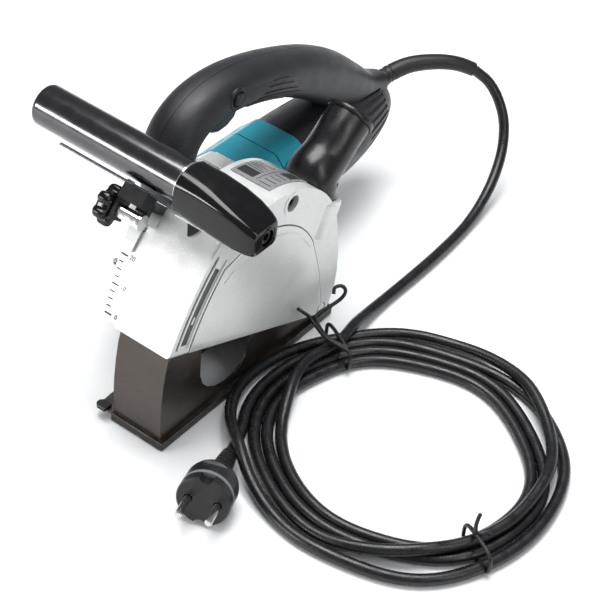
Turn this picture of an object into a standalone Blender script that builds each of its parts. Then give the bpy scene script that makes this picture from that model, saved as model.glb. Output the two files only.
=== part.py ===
"""A twin-wheel wall chaser: a hand-held tool that cuts two parallel grooves for cables and pipes.

The datum is the middle of the wheel cover: x is across the cover (plus x is the operator's left when
the tool cuts towards minus y), the wheel axle runs along x, the motor runs along y, and z is zero under
the sole. Sizes are in millimetres, and each mesh is scaled to metres as it is made. The tool is built as
it is put away, with its two wheels taken off.
"""

import math

import bmesh
import bpy
from mathutils import Matrix, Vector

MM = 0.001
GAP = 0.3  # clearance that touching pieces keep

# The origin of the part, the middle of the box of the tool without its cord, as seen from the datum.
ORIGIN = Vector((-40.25, 109.94, 0.0))

# Driving dimensions
WHEEL_D = 125.0
WHEEL_Y, WHEEL_Z = 2.0, 66.0
PIVOT_Y, PIVOT_Z = 76.0, 15.0
MOTOR_X = -60.0
COVER_HALF = 22.5
COVER_WALL = 2.2
COVER_FRONT_R = 180.0  # the cover's front face is round the base's pivot
COVER_TOP_R = 82.0  # the cover's top is round the wheel axle
COVER_BOTTOM_DEG = -22.68
BASE_HALF = 19.5
BASE_WALL = 1.4
BASE_FRONT_R = 175.5
SOLE_TOP = 5.2
FLANGE_TOP = 7.0
STOP_DEG = 42.45  # the clamp bolt's direction from the pivot, up from straight ahead
STOP_R = 190.4
GRIP_Y, GRIP_Z = -42.0, 170.0
GRIP_R = 14.0
MOTOR_R = 34.0
TEAL_START, TEAL_END = 62.3, 121.5
GEAR_RATIO = 3
PINION_TEETH = 10
GEAR_MODULE = 1.3
CORD_R = 4.0
COIL_X, COIL_Y = 136.5, 12.0
COIL_IN, COIL_OUT, COIL_TOP = 74.0, 104.5, 17.0


# ---------------------------------------------------------------- materials

COLOURS = {
    "silver_paint": ((0.80, 0.81, 0.80), 0.35, 0.15),
    "cast_aluminium": ((0.62, 0.63, 0.63), 0.45, 0.85),
    "teal_plastic": ((0.02, 0.36, 0.45), 0.4, 0.0),
    "black_plastic": ((0.03, 0.03, 0.033), 0.55, 0.0),
    "gloss_black": ((0.012, 0.012, 0.014), 0.2, 0.0),
    "steel": ((0.55, 0.55, 0.56), 0.3, 1.0),
    "base_steel": ((0.15, 0.14, 0.13), 0.45, 0.6),
    "black_steel": ((0.03, 0.03, 0.03), 0.4, 0.4),
    "copper": ((0.72, 0.36, 0.18), 0.4, 1.0),
    "carbon": ((0.05, 0.05, 0.05), 0.7, 0.1),
    "brass": ((0.78, 0.60, 0.27), 0.35, 1.0),
    "rubber": ((0.02, 0.02, 0.022), 0.6, 0.0),
    "label": ((0.72, 0.72, 0.70), 0.4, 0.2),
}


def material(slot):
    found = bpy.data.materials.get(slot)
    if found:
        return found
    colour, roughness, metallic = COLOURS[slot]
    made = bpy.data.materials.new(slot)
    made.use_nodes = True
    made.diffuse_color = (*colour, 1.0)
    shader = made.node_tree.nodes["Principled BSDF"]
    shader.inputs["Base Color"].default_value = (*colour, 1.0)
    shader.inputs["Roughness"].default_value = roughness
    shader.inputs["Metallic"].default_value = metallic
    return made


# ---------------------------------------------------------------- making objects

def finish(bm, name, slot, at=(0.0, 0.0, 0.0)):
    """Turns a bmesh in datum millimetres into an object whose own origin is at that point."""
    bmesh.ops.recalc_face_normals(bm, faces=bm.faces)
    bmesh.ops.transform(bm, matrix=Matrix.Translation(-Vector(at)), verts=bm.verts)
    bmesh.ops.scale(bm, vec=(MM, MM, MM), verts=bm.verts)
    mesh = bpy.data.meshes.new(name)
    bm.to_mesh(mesh)
    bm.free()
    mesh.shade_smooth()
    mesh.set_sharp_from_angle(angle=math.radians(35))
    mesh.materials.append(material(slot))
    made = bpy.data.objects.new(name, mesh)
    bpy.context.collection.objects.link(made)
    made.location = (Vector(at) - ORIGIN) * MM
    return made


def tool(bm):
    """A hidden helper for a Boolean."""
    made = finish(bm, "helper", "steel")
    made.hide_render = True
    made.display_type = "WIRE"
    return made


def boolean(target, bm, operation):
    change = target.modifiers.new(operation.lower(), "BOOLEAN")
    change.operation = operation
    change.solver = "EXACT"
    change.object = tool(bm)


def cut(target, *shapes):
    for bm in shapes:
        boolean(target, bm, "DIFFERENCE")


def join(target, *shapes):
    for bm in shapes:
        boolean(target, bm, "UNION")


def keep(target, bm):
    boolean(target, bm, "INTERSECT")


# ---------------------------------------------------------------- shapes, as bmeshes in datum millimetres

def rings(bm, loops, closed):
    """Joins loops of vertices into a skin; the first and last are capped unless the skin closes on itself."""
    pairs = list(zip(loops, loops[1:]))
    if closed:
        pairs.append((loops[-1], loops[0]))
    for low, high in pairs:
        count = max(len(low), len(high))
        for i in range(count):
            corners = []
            for vertex in (low[i % len(low)], low[(i + 1) % len(low)],
                           high[(i + 1) % len(high)], high[i % len(high)]):
                if vertex not in corners:
                    corners.append(vertex)
            if len(corners) > 2:
                bm.faces.new(corners)
    if not closed:
        for loop in (loops[0], loops[-1]):
            if len(loop) > 2:
                bm.faces.new(loop)


def loft(sections, closed=False):
    """A skin through sections, each a list of points of the same length."""
    bm = bmesh.new()
    loops = [[bm.verts.new(point) for point in section] for section in sections]
    rings(bm, loops, closed)
    return bm


def prism(outline, axis, low, high):
    """An outline pushed along an axis. The outline gives the other two coordinates in x, y, z order."""
    def place(point, along):
        spot = list(point)
        spot.insert("xyz".index(axis), along)
        return spot
    return loft([[place(point, along) for point in outline] for along in (low, high)])


def box(low, high):
    outline = [(low[1], low[2]), (high[1], low[2]), (high[1], high[2]), (low[1], high[2])]
    return prism(outline, "x", low[0], high[0])


def frame_of(direction):
    """Two unit vectors square to a direction."""
    along = Vector(direction).normalized()
    helper = Vector((0, 0, 1)) if abs(along.z) < 0.9 else Vector((0, 1, 0))
    side = helper.cross(along).normalized()
    return side, along.cross(side)


def lathe(profile, base, direction, steps=24):
    """Turns a closed profile of (radius, distance along) about the line from base; radius 0 lies on the line."""
    along = Vector(direction).normalized()
    side, up = frame_of(along)
    bm = bmesh.new()
    loops = []
    for radius, distance in profile:
        centre = Vector(base) + along * distance
        if radius == 0:
            loops.append([bm.verts.new(centre)])
            continue
        turns = (math.tau * i / steps for i in range(steps))
        loops.append([bm.verts.new(centre + radius * (math.cos(t) * side + math.sin(t) * up)) for t in turns])
    solid = len(loops[0]) == 1 or len(loops[-1]) == 1
    rings(bm, loops, closed=not solid)
    return bm


def rod(base, direction, radius, length, steps=24, chamfer=0.0):
    """A round bar with its two ends' edges chamfered."""
    c = chamfer
    profile = [(0, 0), (radius - c, 0), (radius, c), (radius, length - c), (radius - c, length), (0, length)]
    if not c:
        profile = [(0, 0), (radius, 0), (radius, length), (0, length)]
    return lathe(profile, base, direction, steps)


def ring(base, direction, inner, outer, length, steps=24):
    """A tube's straight length."""
    return lathe([(inner, 0), (outer, 0), (outer, length), (inner, length)], base, direction, steps)


def polar(radius, degrees, centre=(PIVOT_Y, PIVOT_Z)):
    """A (y, z) point ahead of a centre: 0 degrees is straight ahead, towards minus y, and 90 straight up."""
    turn = math.radians(degrees)
    return centre[0] - radius * math.cos(turn), centre[1] + radius * math.sin(turn)


def arc(radius, start, end, count, centre=(PIVOT_Y, PIVOT_Z)):
    return [polar(radius, start + (end - start) * i / (count - 1), centre) for i in range(count)]


def band(inner, outer, start, end, count, low, high):
    """An arc-shaped bar about the base's pivot, between two radii and two x limits."""
    outline = arc(outer, start, end, count) + arc(inner, end, start, count)
    return prism(outline, "x", low, high)


def smooth(points, per_span):
    """A smooth curve through the points, as Catmull-Rom spans."""
    points = [Vector(p) for p in points]
    padded = [2 * points[0] - points[1], *points, 2 * points[-1] - points[-2]]
    line = []
    for a, b, c, d in zip(padded, padded[1:], padded[2:], padded[3:]):
        for i in range(per_span):
            t = i / per_span
            line.append(0.5 * (2 * b + (c - a) * t + (2 * a - 5 * b + 4 * c - d) * t * t
                               + (3 * b - a - 3 * c + d) * t ** 3))
    line.append(points[-1])
    return line


def offset(outline, distance):
    """The outline with each side moved inwards; the outline runs anticlockwise seen with y right and z up."""
    moved = []
    count = len(outline)
    for i, here in enumerate(outline):
        before = Vector(outline[i - 1])
        point = Vector(here)
        after = Vector(outline[(i + 1) % count])
        first = (point - before).normalized()
        second = (after - point).normalized()
        inward_a = Vector((-first.y, first.x))
        inward_b = Vector((-second.y, second.x))
        middle = (inward_a + inward_b).normalized()
        moved.append(tuple(point + middle * distance / max(middle.dot(inward_a), 0.4)))
    return moved


# ---------------------------------------------------------------- the wheel cover

def bottom_line(y):
    """The height of the cover's bottom edge, which slopes down to the rear."""
    return 79.5 + (y + 92.0) * math.tan(math.radians(COVER_BOTTOM_DEG))


def cover_outline():
    """The cover's outline: up its rear from the bottom, over its top and down its front."""
    rear = [(80.0, 7.6), (83.8, 10.0), (86.6, 15.0), (88.6, 26.0), (89.2, 42.0), (87.6, 58.0), (84.8, 72.0)]
    top = arc(COVER_TOP_R, 162.0, 90.0, 10, (WHEEL_Y, WHEEL_Z))
    crown = [(-13.0, 149.8), (-28.0, 150.4), (-40.0, 149.2), (-47.5, 146.0)]
    front = arc(COVER_FRONT_R, 43.0, 21.0, 7)
    return rear + top + crown + front


def cavity_outline():
    """The room inside the cover, run out past the bottom edge so that it is open below."""
    inner = offset(cover_outline(), COVER_WALL + 0.1)
    drop = 12.0
    open_below = []
    for y, z in inner:
        near_bottom = z < bottom_line(y) + 4.0
        open_below.append((y, z - drop) if near_bottom else (y, z))
    return open_below


def plate_outline(shrink=0.0):
    """The removable side plate: behind the slot, under a long curve, down to the bottom edge."""
    centre = (-16.6, 49.5)
    top = arc(80.2 - shrink, 96.0, 152.0, 9, centre)
    rear = [(62.5 - shrink, 66.0), (68.0 - shrink, 50.0), (72.5 - shrink, 30.0), (74.0 - shrink, 22.0)]
    low_rear = (72.5 - shrink, bottom_line(72.5) + 0.4 + shrink)
    front_r = 160.0 - shrink
    front = arc(front_r, 21.5, 42.0, 7)
    low_front = (front[0][0], bottom_line(front[0][0]) + 0.4 + shrink)
    return [low_front] + front[1:] + top + rear + [low_rear]


def duct_axis():
    return Vector((0.0, 69.5, 97.0)), Vector((0.0, 0.40, 0.917)).normalized()


def scale_flange():
    """The scale's strip, which widens the cover's front face on its right and follows the front arc."""
    sections = []
    for i in range(7):
        degrees = 21.6 + 20.9 * i / 6
        right = -31.5 - 7.5 * i / 6
        outer = polar(COVER_FRONT_R, degrees)
        inner = polar(COVER_FRONT_R - 2.8, degrees)
        sections.append([(right, *outer), (-COVER_HALF + 1.0, *outer), (-COVER_HALF + 1.0, *inner), (right, *inner)])
    return loft(sections)


def duct_seat(cover):
    """A pad for the dust nozzle, trimmed to clear the wheels inside and faced square to the duct outside."""
    base, up = duct_axis()
    join(cover, rod(base - up * 14, up, 24.6, 25.6, 28))
    cut(cover, rod((3.0 - COVER_HALF, WHEEL_Y, WHEEL_Z), (1, 0, 0), WHEEL_D / 2 + 4, 2 * COVER_HALF - 6, 40))
    cut(cover, rod(base + up * 11.2, up, 21.0, 30.0, 28))
    cut(cover, rod(base - up * 25, up, 13.6, 50.0, 24))


def wheel_cover():
    half = COVER_HALF
    cover = finish(prism(cover_outline(), "x", -half, half), "wheel_cover", "silver_paint")
    inner = half - COVER_WALL
    join(cover, scale_flange())
    cut(cover, prism(cavity_outline(), "x", -inner, inner))
    duct_seat(cover)
    cut(cover, prism(plate_outline(), "x", inner - 0.5, half + 2))
    cut(cover, band(167.2, 171.2, 23.6, 41.6, 7, inner - 1, half + 2))
    cut(cover, rod((-half - 1, WHEEL_Y, WHEEL_Z), (1, 0, 0), 18.0, 4, 32))
    cut(cover, rod((-half - 1, PIVOT_Y, PIVOT_Z), (1, 0, 0), 4.3, 2 * half + 2, 20))
    join(cover, rod((6, 24.3, 135.4), (1, 0, 0), 7.5, half - 5.6, 20))
    cut(cover, rod((9, 24.3, 135.4), (1, 0, 0), 4.6, 20, 20))
    for start, end in ((172.9, 174.6), (162.2, 163.9)):
        join(cover, band(start, end, 22.6, 44.0, 7, half - 0.5, half + 0.9))
    return cover


def side_plate():
    plate = finish(prism(plate_outline(0.35), "x", COVER_HALF - 1.9, COVER_HALF + 0.4), "side_plate", "silver_paint")
    rim = arc(68.0, 60.0, 150.0, 12, (-8.0, 52.0)) + arc(66.0, 150.0, 60.0, 12, (-8.0, 52.0))
    join(plate, prism(rim, "x", COVER_HALF, COVER_HALF + 1.2))
    cut(plate, rod((0, PIVOT_Y, PIVOT_Z), (1, 0, 0), 6.0, 40, 20))
    return plate


def side_plate_screw():
    start = (10.0, 24.3, 135.4)
    screw = finish(rod(start, (1, 0, 0), 4.2, 10.6, 24, 0.5), "side_plate_screw", "black_steel")
    cut(screw, rod((17.6, 24.3, 135.4), (1, 0, 0), 2.4, 6, 6))


def label_plate():
    outer = arc(COVER_TOP_R + 0.8, 96.0, 128.0, 9, (WHEEL_Y, WHEEL_Z))
    inner = arc(COVER_TOP_R + 0.3, 128.0, 96.0, 9, (WHEEL_Y, WHEEL_Z))
    finish(prism(outer + inner, "x", -18.0, 13.0), "label_plate", "label")


def sight_pointer():
    """The arrow at the cover's front that shows the line of the cut."""
    def spot(x, radius, degrees):
        return (x, *polar(radius, degrees))
    sections = []
    for radius in (180.7, 183.2):
        sections.append([spot(-4.0, radius, 47.4), spot(5.5, radius, 47.4), spot(5.0, radius, 46.4),
                         spot(1.2, radius, 44.4), spot(-2.6, radius, 46.4)])
    finish(loft(sections), "sight_pointer", "black_plastic")


# ---------------------------------------------------------------- the base

def shoe_wall():
    """A side wall of the base: tall in front, scalloped for the spindle, low at the pivot."""
    front = [(-90.4, FLANGE_TOP - BASE_WALL), (-91.7, 22.0), (-92.0, 38.0), (-91.3, 54.0), (-89.6, 68.0)]
    top = [polar(BASE_FRONT_R, 22.6), polar(BASE_FRONT_R, 24.2), (-56.0, 75.0), (-54.8, 58.0)]
    scallop = [(-54.3, 48.0), (-53.6, 38.0), (-50.2, 29.0), (-43.5, 21.2), (-35.0, 15.8), (-25.2, 13.6),
               (-16.0, 14.6), (-8.8, 18.0), (-4.2, 24.5), (-2.3, 32.6), (1.5, 42.0), (8.0, 52.0)]
    rear = [(36.0, 40.0), (66.0, 26.0), *arc(6.8, 110.0, 215.0, 7), (81.2, FLANGE_TOP - BASE_WALL)]
    return front + top + scallop + rear


def shoe_front():
    """The base's front wall, a bulging sheet that runs up inside the cover."""
    outer = [(-90.4, FLANGE_TOP - BASE_WALL), (-91.7, 22.0), (-92.0, 38.0), (-91.3, 54.0), (-89.6, 68.0),
             polar(BASE_FRONT_R, 22.6), polar(BASE_FRONT_R, 24.2)]
    inner = [(y + BASE_WALL, z) for y, z in reversed(outer)]
    return prism(outer + inner, "x", -BASE_HALF, BASE_HALF)


FLANGE = [(22.5, -92.4), (22.5, 91.0), (-66.0, 91.0), (-72.0, 85.0), (-72.0, -12.0), (-66.0, -20.0), (-38.0, -32.0),
          (-32.0, -40.0), (-32.0, -80.0)]
SLOT_HALF = 17.0


def base_shoe():
    shoe = finish(prism(FLANGE + [(-31.4, -88.0), (-29.0, -91.0), (-25.0, -92.4)], "z", FLANGE_TOP - BASE_WALL,
                        FLANGE_TOP), "base_shoe", "base_steel", (0, PIVOT_Y, PIVOT_Z))
    cut(shoe, box((-SLOT_HALF - 0.4, -88.8, 0), (SLOT_HALF + 0.4, 70.0, 20)))
    for side in (-1, 1):
        low, high = sorted((side * BASE_HALF, side * (BASE_HALF - BASE_WALL)))
        join(shoe, prism(shoe_wall(), "x", low, high))
    join(shoe, shoe_front())
    cut(shoe, rod((-30, PIVOT_Y, PIVOT_Z), (1, 0, 0), 4.3, 60, 20))
    return shoe


def sole_plate():
    outline = FLANGE[:-1] + [(-32.0, -83.0), (-20.5, -86.0), (-20.5, -92.0)]
    outline[0] = (22.3, -92.0)
    outline[1] = (22.3, 90.6)
    sole = finish(prism(outline, "z", 0.0, SOLE_TOP), "sole_plate", "black_steel", (0, PIVOT_Y, PIVOT_Z))
    cut(sole, box((-SLOT_HALF, -87.5, -5), (SLOT_HALF, 69.0, 20)))
    return sole


def base_tab():
    """The upturned lug at the base's front right corner."""
    outline = [(-23.2, -95.6), (-23.2, -88.0), (-29.5, -88.0), (-31.8, -90.5), (-31.8, -93.5), (-29.5, -95.6)]
    finish(prism(outline, "z", FLANGE_TOP + GAP, 10.0), "base_tab", "black_plastic", (0, PIVOT_Y, PIVOT_Z))


def pivot_pin():
    finish(rod((-COVER_HALF + 0.2, PIVOT_Y, PIVOT_Z), (1, 0, 0), 4.0, 2 * COVER_HALF - 0.4, 20, 0.4),
           "pivot_pin", "steel")


def wire(name, slot, line, radius, resolution=2):
    """A round wire or cord along a line of points."""
    curve = bpy.data.curves.new(name, "CURVE")
    curve.dimensions = "3D"
    curve.bevel_depth = radius * MM
    curve.bevel_resolution = resolution
    curve.use_fill_caps = True
    spline = curve.splines.new("POLY")
    spline.points.add(len(line) - 1)
    for point, spot in zip(spline.points, line):
        point.co = (*(Vector(spot) * MM), 1.0)
    curve.materials.append(material(slot))
    made = bpy.data.objects.new(name, curve)
    bpy.context.collection.objects.link(made)
    made.location = -ORIGIN * MM
    return made


def return_spring():
    """The torsion spring that swings the base down out of the cover."""
    turns, steps, radius, pitch = 4, 9, 5.8, 4.6
    line = []
    for i in range(turns * steps + 1):
        turn = math.tau * i / steps
        line.append((-12.0 + pitch * i / steps, PIVOT_Y + radius * math.cos(turn), PIVOT_Z + radius * math.sin(turn)))
    wire("return_spring", "steel", line, 0.9, 1)


# ---------------------------------------------------------------- the depth stop

def stop_point():
    return polar(STOP_R, STOP_DEG)


def depth_stop():
    """The stop that the base meets: a block and its bolt, which the knob clamps where it is set."""
    at = (0, PIVOT_Y, PIVOT_Z)
    y, z = stop_point()
    block = finish(band(184.5, 198.5, 44.6, 47.6, 3, -46.2, -28.0), "stop_block", "black_plastic", at)
    join(block, band(183.0, 197.0, 40.4, 46.5, 4, -46.2, -43.9))
    join(block, band(182.6, 187.0, 43.8, 46.6, 3, -37.0, -28.0))
    cut(block, rod((-60, y, z), (1, 0, 0), 3.4, 60, 16))
    cut(block, rod((-43.6, y, z), (1, 0, 0), 6.2, 30, 20))
    strip = band(180.7, 182.2, 36.4, 45.0, 6, -37.0, -28.4)
    finish(strip, "depth_pointer", "cast_aluminium", at)
    bolt = [(0, 0), (5.4, 0), (5.4, 2.0), (4.5, 2.0), (4.5, 17.8), (3.0, 17.8), (3.0, 26.5), (0, 26.5)]
    finish(lathe(bolt, (-25.6, y, z), (-1, 0, 0), 24), "clamp_bolt", "steel", (0, y, z))


def clamp_knob():
    y, z = stop_point()
    sections = []
    for x, scale in ((-46.6, 0.7), (-47.4, 0.93), (-48.6, 1.0), (-54.0, 1.0), (-56.2, 0.88), (-56.8, 0.6)):
        loop = []
        for i in range(30):
            turn = math.tau * i / 30
            radius = scale * (12.0 + 1.5 * math.tanh(2.2 * math.cos(6 * turn)))
            loop.append((x, y + radius * math.cos(turn), z + radius * math.sin(turn)))
        sections.append(loop)
    knob = finish(loft(sections), "clamp_knob", "black_plastic", (-50, y, z))
    cut(knob, rod((-45.5, y, z), (-1, 0, 0), 3.3, 8.0, 16))


# ---------------------------------------------------------------- the front grip

def grip():
    left = -9.5
    length = 121.0
    far = length + 1.0
    profile = [(0, far), (9.0, far), (12.6, far - 1.2), (GRIP_R, far - 4.0), (GRIP_R, 0.8), (GRIP_R - 0.8, 0),
               (6.4, 0), (6.4, length - 6.0), (0, length - 6.0)]
    finish(lathe(profile, (left, GRIP_Y, GRIP_Z), (-1, 0, 0), 28), "front_grip_tube", "gloss_black")
    finish(rod((left - 112.0, GRIP_Y, GRIP_Z), (1, 0, 0), 6.0, 118.0, 20, 0.6), "grip_core", "steel")
    arm = finish(grip_arm(), "grip_arm", "gloss_black")
    cut(arm, rod((left - 2, GRIP_Y, GRIP_Z), (1, 0, 0), 6.4, 12.5, 20))
    cut(arm, rod((30.0, GRIP_Y, 162.5), (1, 0, 0), 5.6, 40, 24))
    bolt = finish(rod((31.0, GRIP_Y, 162.5), (1, 0, 0), 5.2, 18.6, 24, 0.6), "grip_bolt", "black_steel")
    cut(bolt, rod((46.0, GRIP_Y, 162.5), (1, 0, 0), 2.9, 6, 6))
    finish(box((-11.0, -52.5, 150.8), (43.0, -29.0, 152.4)), "grip_plate", "cast_aluminium")
    rod_profile = [(0, 0), (1.6, 0), (1.6, 28), (2.6, 28.6), (2.6, 33), (1.6, 33.6), (1.6, 88), (0.9, 89), (0, 89)]
    finish(lathe(rod_profile, (-COVER_HALF - GAP, -44.5, 147.8), (-1, 0, 0), 12), "grip_stay", "black_steel")


def grip_arm():
    """The arm from the tube to the bolt: a rounded block that narrows to the left."""
    stations = ((-9.2, 15.2, 153.6, 184.0), (-8.0, 15.8, 152.8, 184.8), (8.0, 15.6, 152.8, 183.8),
                (24.0, 15.2, 152.8, 180.8), (36.0, 14.4, 152.8, 177.4), (45.0, 13.4, 152.8, 173.8),
                (49.5, 11.6, 153.4, 171.6), (51.0, 9.6, 155.0, 169.8))
    sections = []
    for x, half, low, high in stations:
        middle, reach = (low + high) / 2, (high - low) / 2
        loop = []
        for i in range(20):
            turn = math.tau * (i + 0.5) / 20
            c, s = math.cos(turn), math.sin(turn)
            power = 0.42
            loop.append((x, GRIP_Y - 1.2 + half * math.copysign(abs(c) ** power, c),
                         middle + reach * math.copysign(abs(s) ** power, s)))
        sections.append(loop)
    return loft(sections)


# ---------------------------------------------------------------- gears, spindle and wheels

def bevel_wheel(teeth, mate, module, face, hub_r, bore, apex, axis, zero, phase):
    """A straight bevel gear whose teeth point at the apex. Zero is the direction of a tooth or, at phase 0.5, a gap."""
    along = Vector(axis).normalized()
    first = Vector(zero).normalized()
    second = along.cross(first)
    pitch_r, depth = teeth * module / 2, mate * module / 2
    slope = math.atan2(pitch_r, depth)
    cone = math.hypot(pitch_r, depth)
    bm = bmesh.new()

    def spot(radial, scale, turn):
        """A point on a tooth: radial distance up the back cone from the pitch circle, at a share of the cone."""
        r = (pitch_r + radial * math.cos(slope)) * scale
        h = (depth - radial * math.sin(slope)) * scale
        return Vector(apex) + along * h + r * (math.cos(turn) * first + math.sin(turn) * second)

    root, tip = -1.25 * module, 0.85 * module
    shape = ((-0.33, root), (-0.11, tip), (0.11, tip), (0.33, root))
    loops = []
    for scale in (1.0, 1.0 - face / cone):
        loop = []
        for i in range(teeth):
            for share, radial in shape:
                turn = math.tau * (i + phase + share) / teeth
                loop.append(bm.verts.new(spot(radial, scale, turn)))
        loops.append(loop)
    count = len(loops[0])

    def circle(radius, height):
        turns = (math.tau * ((i + 0.5) / len(shape) + phase - 0.5) / teeth for i in range(count))
        return [bm.verts.new(Vector(apex) + along * height + radius * (math.cos(t) * first + math.sin(t) * second))
                for t in turns]

    toe_h = depth * (1.0 - face / cone) + 0.9
    loops.append(circle(bore, toe_h))
    loops.append(circle(bore, depth + hub_r[1]))
    loops.append(circle(hub_r[0], depth + hub_r[1]))
    rings(bm, loops, closed=True)
    return bm


def drive():
    axle = (0, WHEEL_Y, WHEEL_Z)
    apex = (MOTOR_X, WHEEL_Y, WHEEL_Z)
    gear_teeth = PINION_TEETH * GEAR_RATIO
    gear = bevel_wheel(gear_teeth, PINION_TEETH, GEAR_MODULE, 6.0, (13.0, 8.0), 7.3, apex, (1, 0, 0), (0, 1, 0), 0.5)
    finish(gear, "bevel_gear", "steel", axle)
    pinion = bevel_wheel(PINION_TEETH, gear_teeth, GEAR_MODULE, 6.0, (4.8, 4.0), 2.8, apex, (0, 1, 0), (1, 0, 0), 0.0)
    finish(pinion, "bevel_pinion", "steel", (MOTOR_X, WHEEL_Y, WHEEL_Z))
    shaft = [(0, -83.9), (5.0, -83.9), (5.0, -71.5), (7.0, -71.5), (7.0, -36.5), (8.0, -36.5), (8.0, -16.9),
             (7.0, -16.9), (7.0, 15.5), (6.4, 16.2), (0, 16.2)]
    finish(lathe(shaft, axle, (1, 0, 0), 24), "spindle", "steel", axle)
    wheel_holders(axle)


def wheel_holders(axle):
    """The flange, the spacer and the nut that hold two wheels 16 mm apart; the wheels themselves are off."""
    def turned(name, slot, profile):
        finish(lathe(profile, axle, (1, 0, 0), 22), name, slot, axle)

    turned("inner_flange", "steel", [(7.3, -16.6), (20.0, -16.6), (20.0, -12.4), (10.8, -12.4), (10.8, -10.1),
                                     (7.3, -10.1)])
    turned("spacer_ring", "steel", [(7.3, -9.7), (16.0, -9.7), (16.0, 3.4), (7.3, 3.4)])
    turned("lock_nut", "steel", [(7.3, 3.8), (10.8, 3.8), (10.8, 6.4), (19.0, 6.4), (19.0, 12.0), (12.0, 14.5),
                                 (7.3, 14.5)])


def bearings():
    """The spindle's and the armature's bearings, each held in its housing."""
    finish(ring((-34.5, WHEEL_Y, WHEEL_Z), (1, 0, 0), 8.3, 16.0, 9.5, 24), "spindle_bearing", "steel")
    finish(ring((-84.1, WHEEL_Y, WHEEL_Z), (1, 0, 0), 5.3, 8.5, 5.3, 20), "needle_bearing", "steel")
    finish(ring((MOTOR_X, 33.0, WHEEL_Z), (0, 1, 0), 4.4, 12.5, 9.0, 24), "front_motor_bearing", "steel")
    finish(ring((MOTOR_X, 140.0, WHEEL_Z), (0, 1, 0), 4.4, 10.0, 7.0, 24), "rear_motor_bearing", "steel")


# ---------------------------------------------------------------- motor

def motor_parts():
    axis = (MOTOR_X, 0, WHEEL_Z)

    def turned(name, slot, profile, steps=24):
        return finish(lathe(profile, axis, (0, 1, 0), steps), name, slot, (MOTOR_X, WHEEL_Y, WHEEL_Z))

    turned("armature_shaft", "steel", [(0, 15.0), (2.5, 15.0), (2.5, 27.0), (4.0, 27.0), (4.0, 148.5), (0, 148.5)])
    core = turned("armature_core", "copper", [(4.3, 68.0), (12.0, 68.0), (16.7, 72.0), (16.7, 106.0), (12.0, 112.0),
                                              (4.3, 112.0)])
    slots = [box((MOTOR_X - 1.0, 71.0, WHEEL_Z + 15.2), (MOTOR_X + 1.0, 107.0, WHEEL_Z + 20)) for _ in range(2)]
    half_turn = Matrix.Rotation(math.pi, 3, "Y")
    bmesh.ops.rotate(slots[1], verts=slots[1].verts, cent=(MOTOR_X, 0, WHEEL_Z), matrix=half_turn)
    cut(core, *slots)
    turned("commutator", "copper", [(4.3, 118.0), (11.6, 118.0), (11.6, 132.0), (4.3, 132.0)])
    fan = turned("cooling_fan", "black_plastic", [(4.3, 50.0), (8.0, 50.0), (8.0, 50.6), (26.0, 50.6), (26.0, 52.0),
                                                  (10.0, 52.0), (10.0, 59.0), (4.3, 59.0)])
    for i in range(7):
        blade = box((MOTOR_X - 0.7, 51.0, WHEEL_Z + 11.0), (MOTOR_X + 0.7, 58.0, WHEEL_Z + 25.5))
        turn = Matrix.Rotation(math.tau * i / 7, 3, "Y")
        bmesh.ops.rotate(blade, verts=blade.verts, cent=(MOTOR_X, 0, WHEEL_Z), matrix=turn)
        join(fan, blade)
    finish(ring((MOTOR_X, 64.0, WHEEL_Z), (0, 1, 0), 17.5, 30.2, 1.6), "fan_baffle", "black_plastic")
    finish(ring((MOTOR_X, 70.0, WHEEL_Z), (0, 1, 0), 17.4, 29.8, 38.0), "field_stator", "steel")
    for side, name in ((-1, "right"), (1, "left")):
        brush(side, name)


def brush(side, name):
    """A carbon brush in its brass holder, pressing on the commutator from one side."""
    def placed(low, high, y_low, y_high, reach):
        ends = sorted((MOTOR_X + side * low, MOTOR_X + side * high))
        return box((ends[0], y_low, WHEEL_Z - reach), (ends[1], y_high, WHEEL_Z + reach))

    holder = finish(placed(14.5, 28.0, 120.9, 131.3, 4.4), "brush_holder_" + name, "brass")
    cut(holder, placed(10.0, 26.5, 122.3, 129.9, 3.0))
    finish(placed(12.0, 25.5, 122.6, 129.6, 2.7), "carbon_brush_" + name, "carbon")


# ---------------------------------------------------------------- gear housing and motor housing

def depth_line(y, distance):
    """The height of a line that is square to the wheels' deepest cut, at a distance from the axle."""
    slope = math.radians(COVER_BOTTOM_DEG)
    return WHEEL_Z - (distance - (y - WHEEL_Y) * math.sin(slope)) / math.cos(slope)


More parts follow.
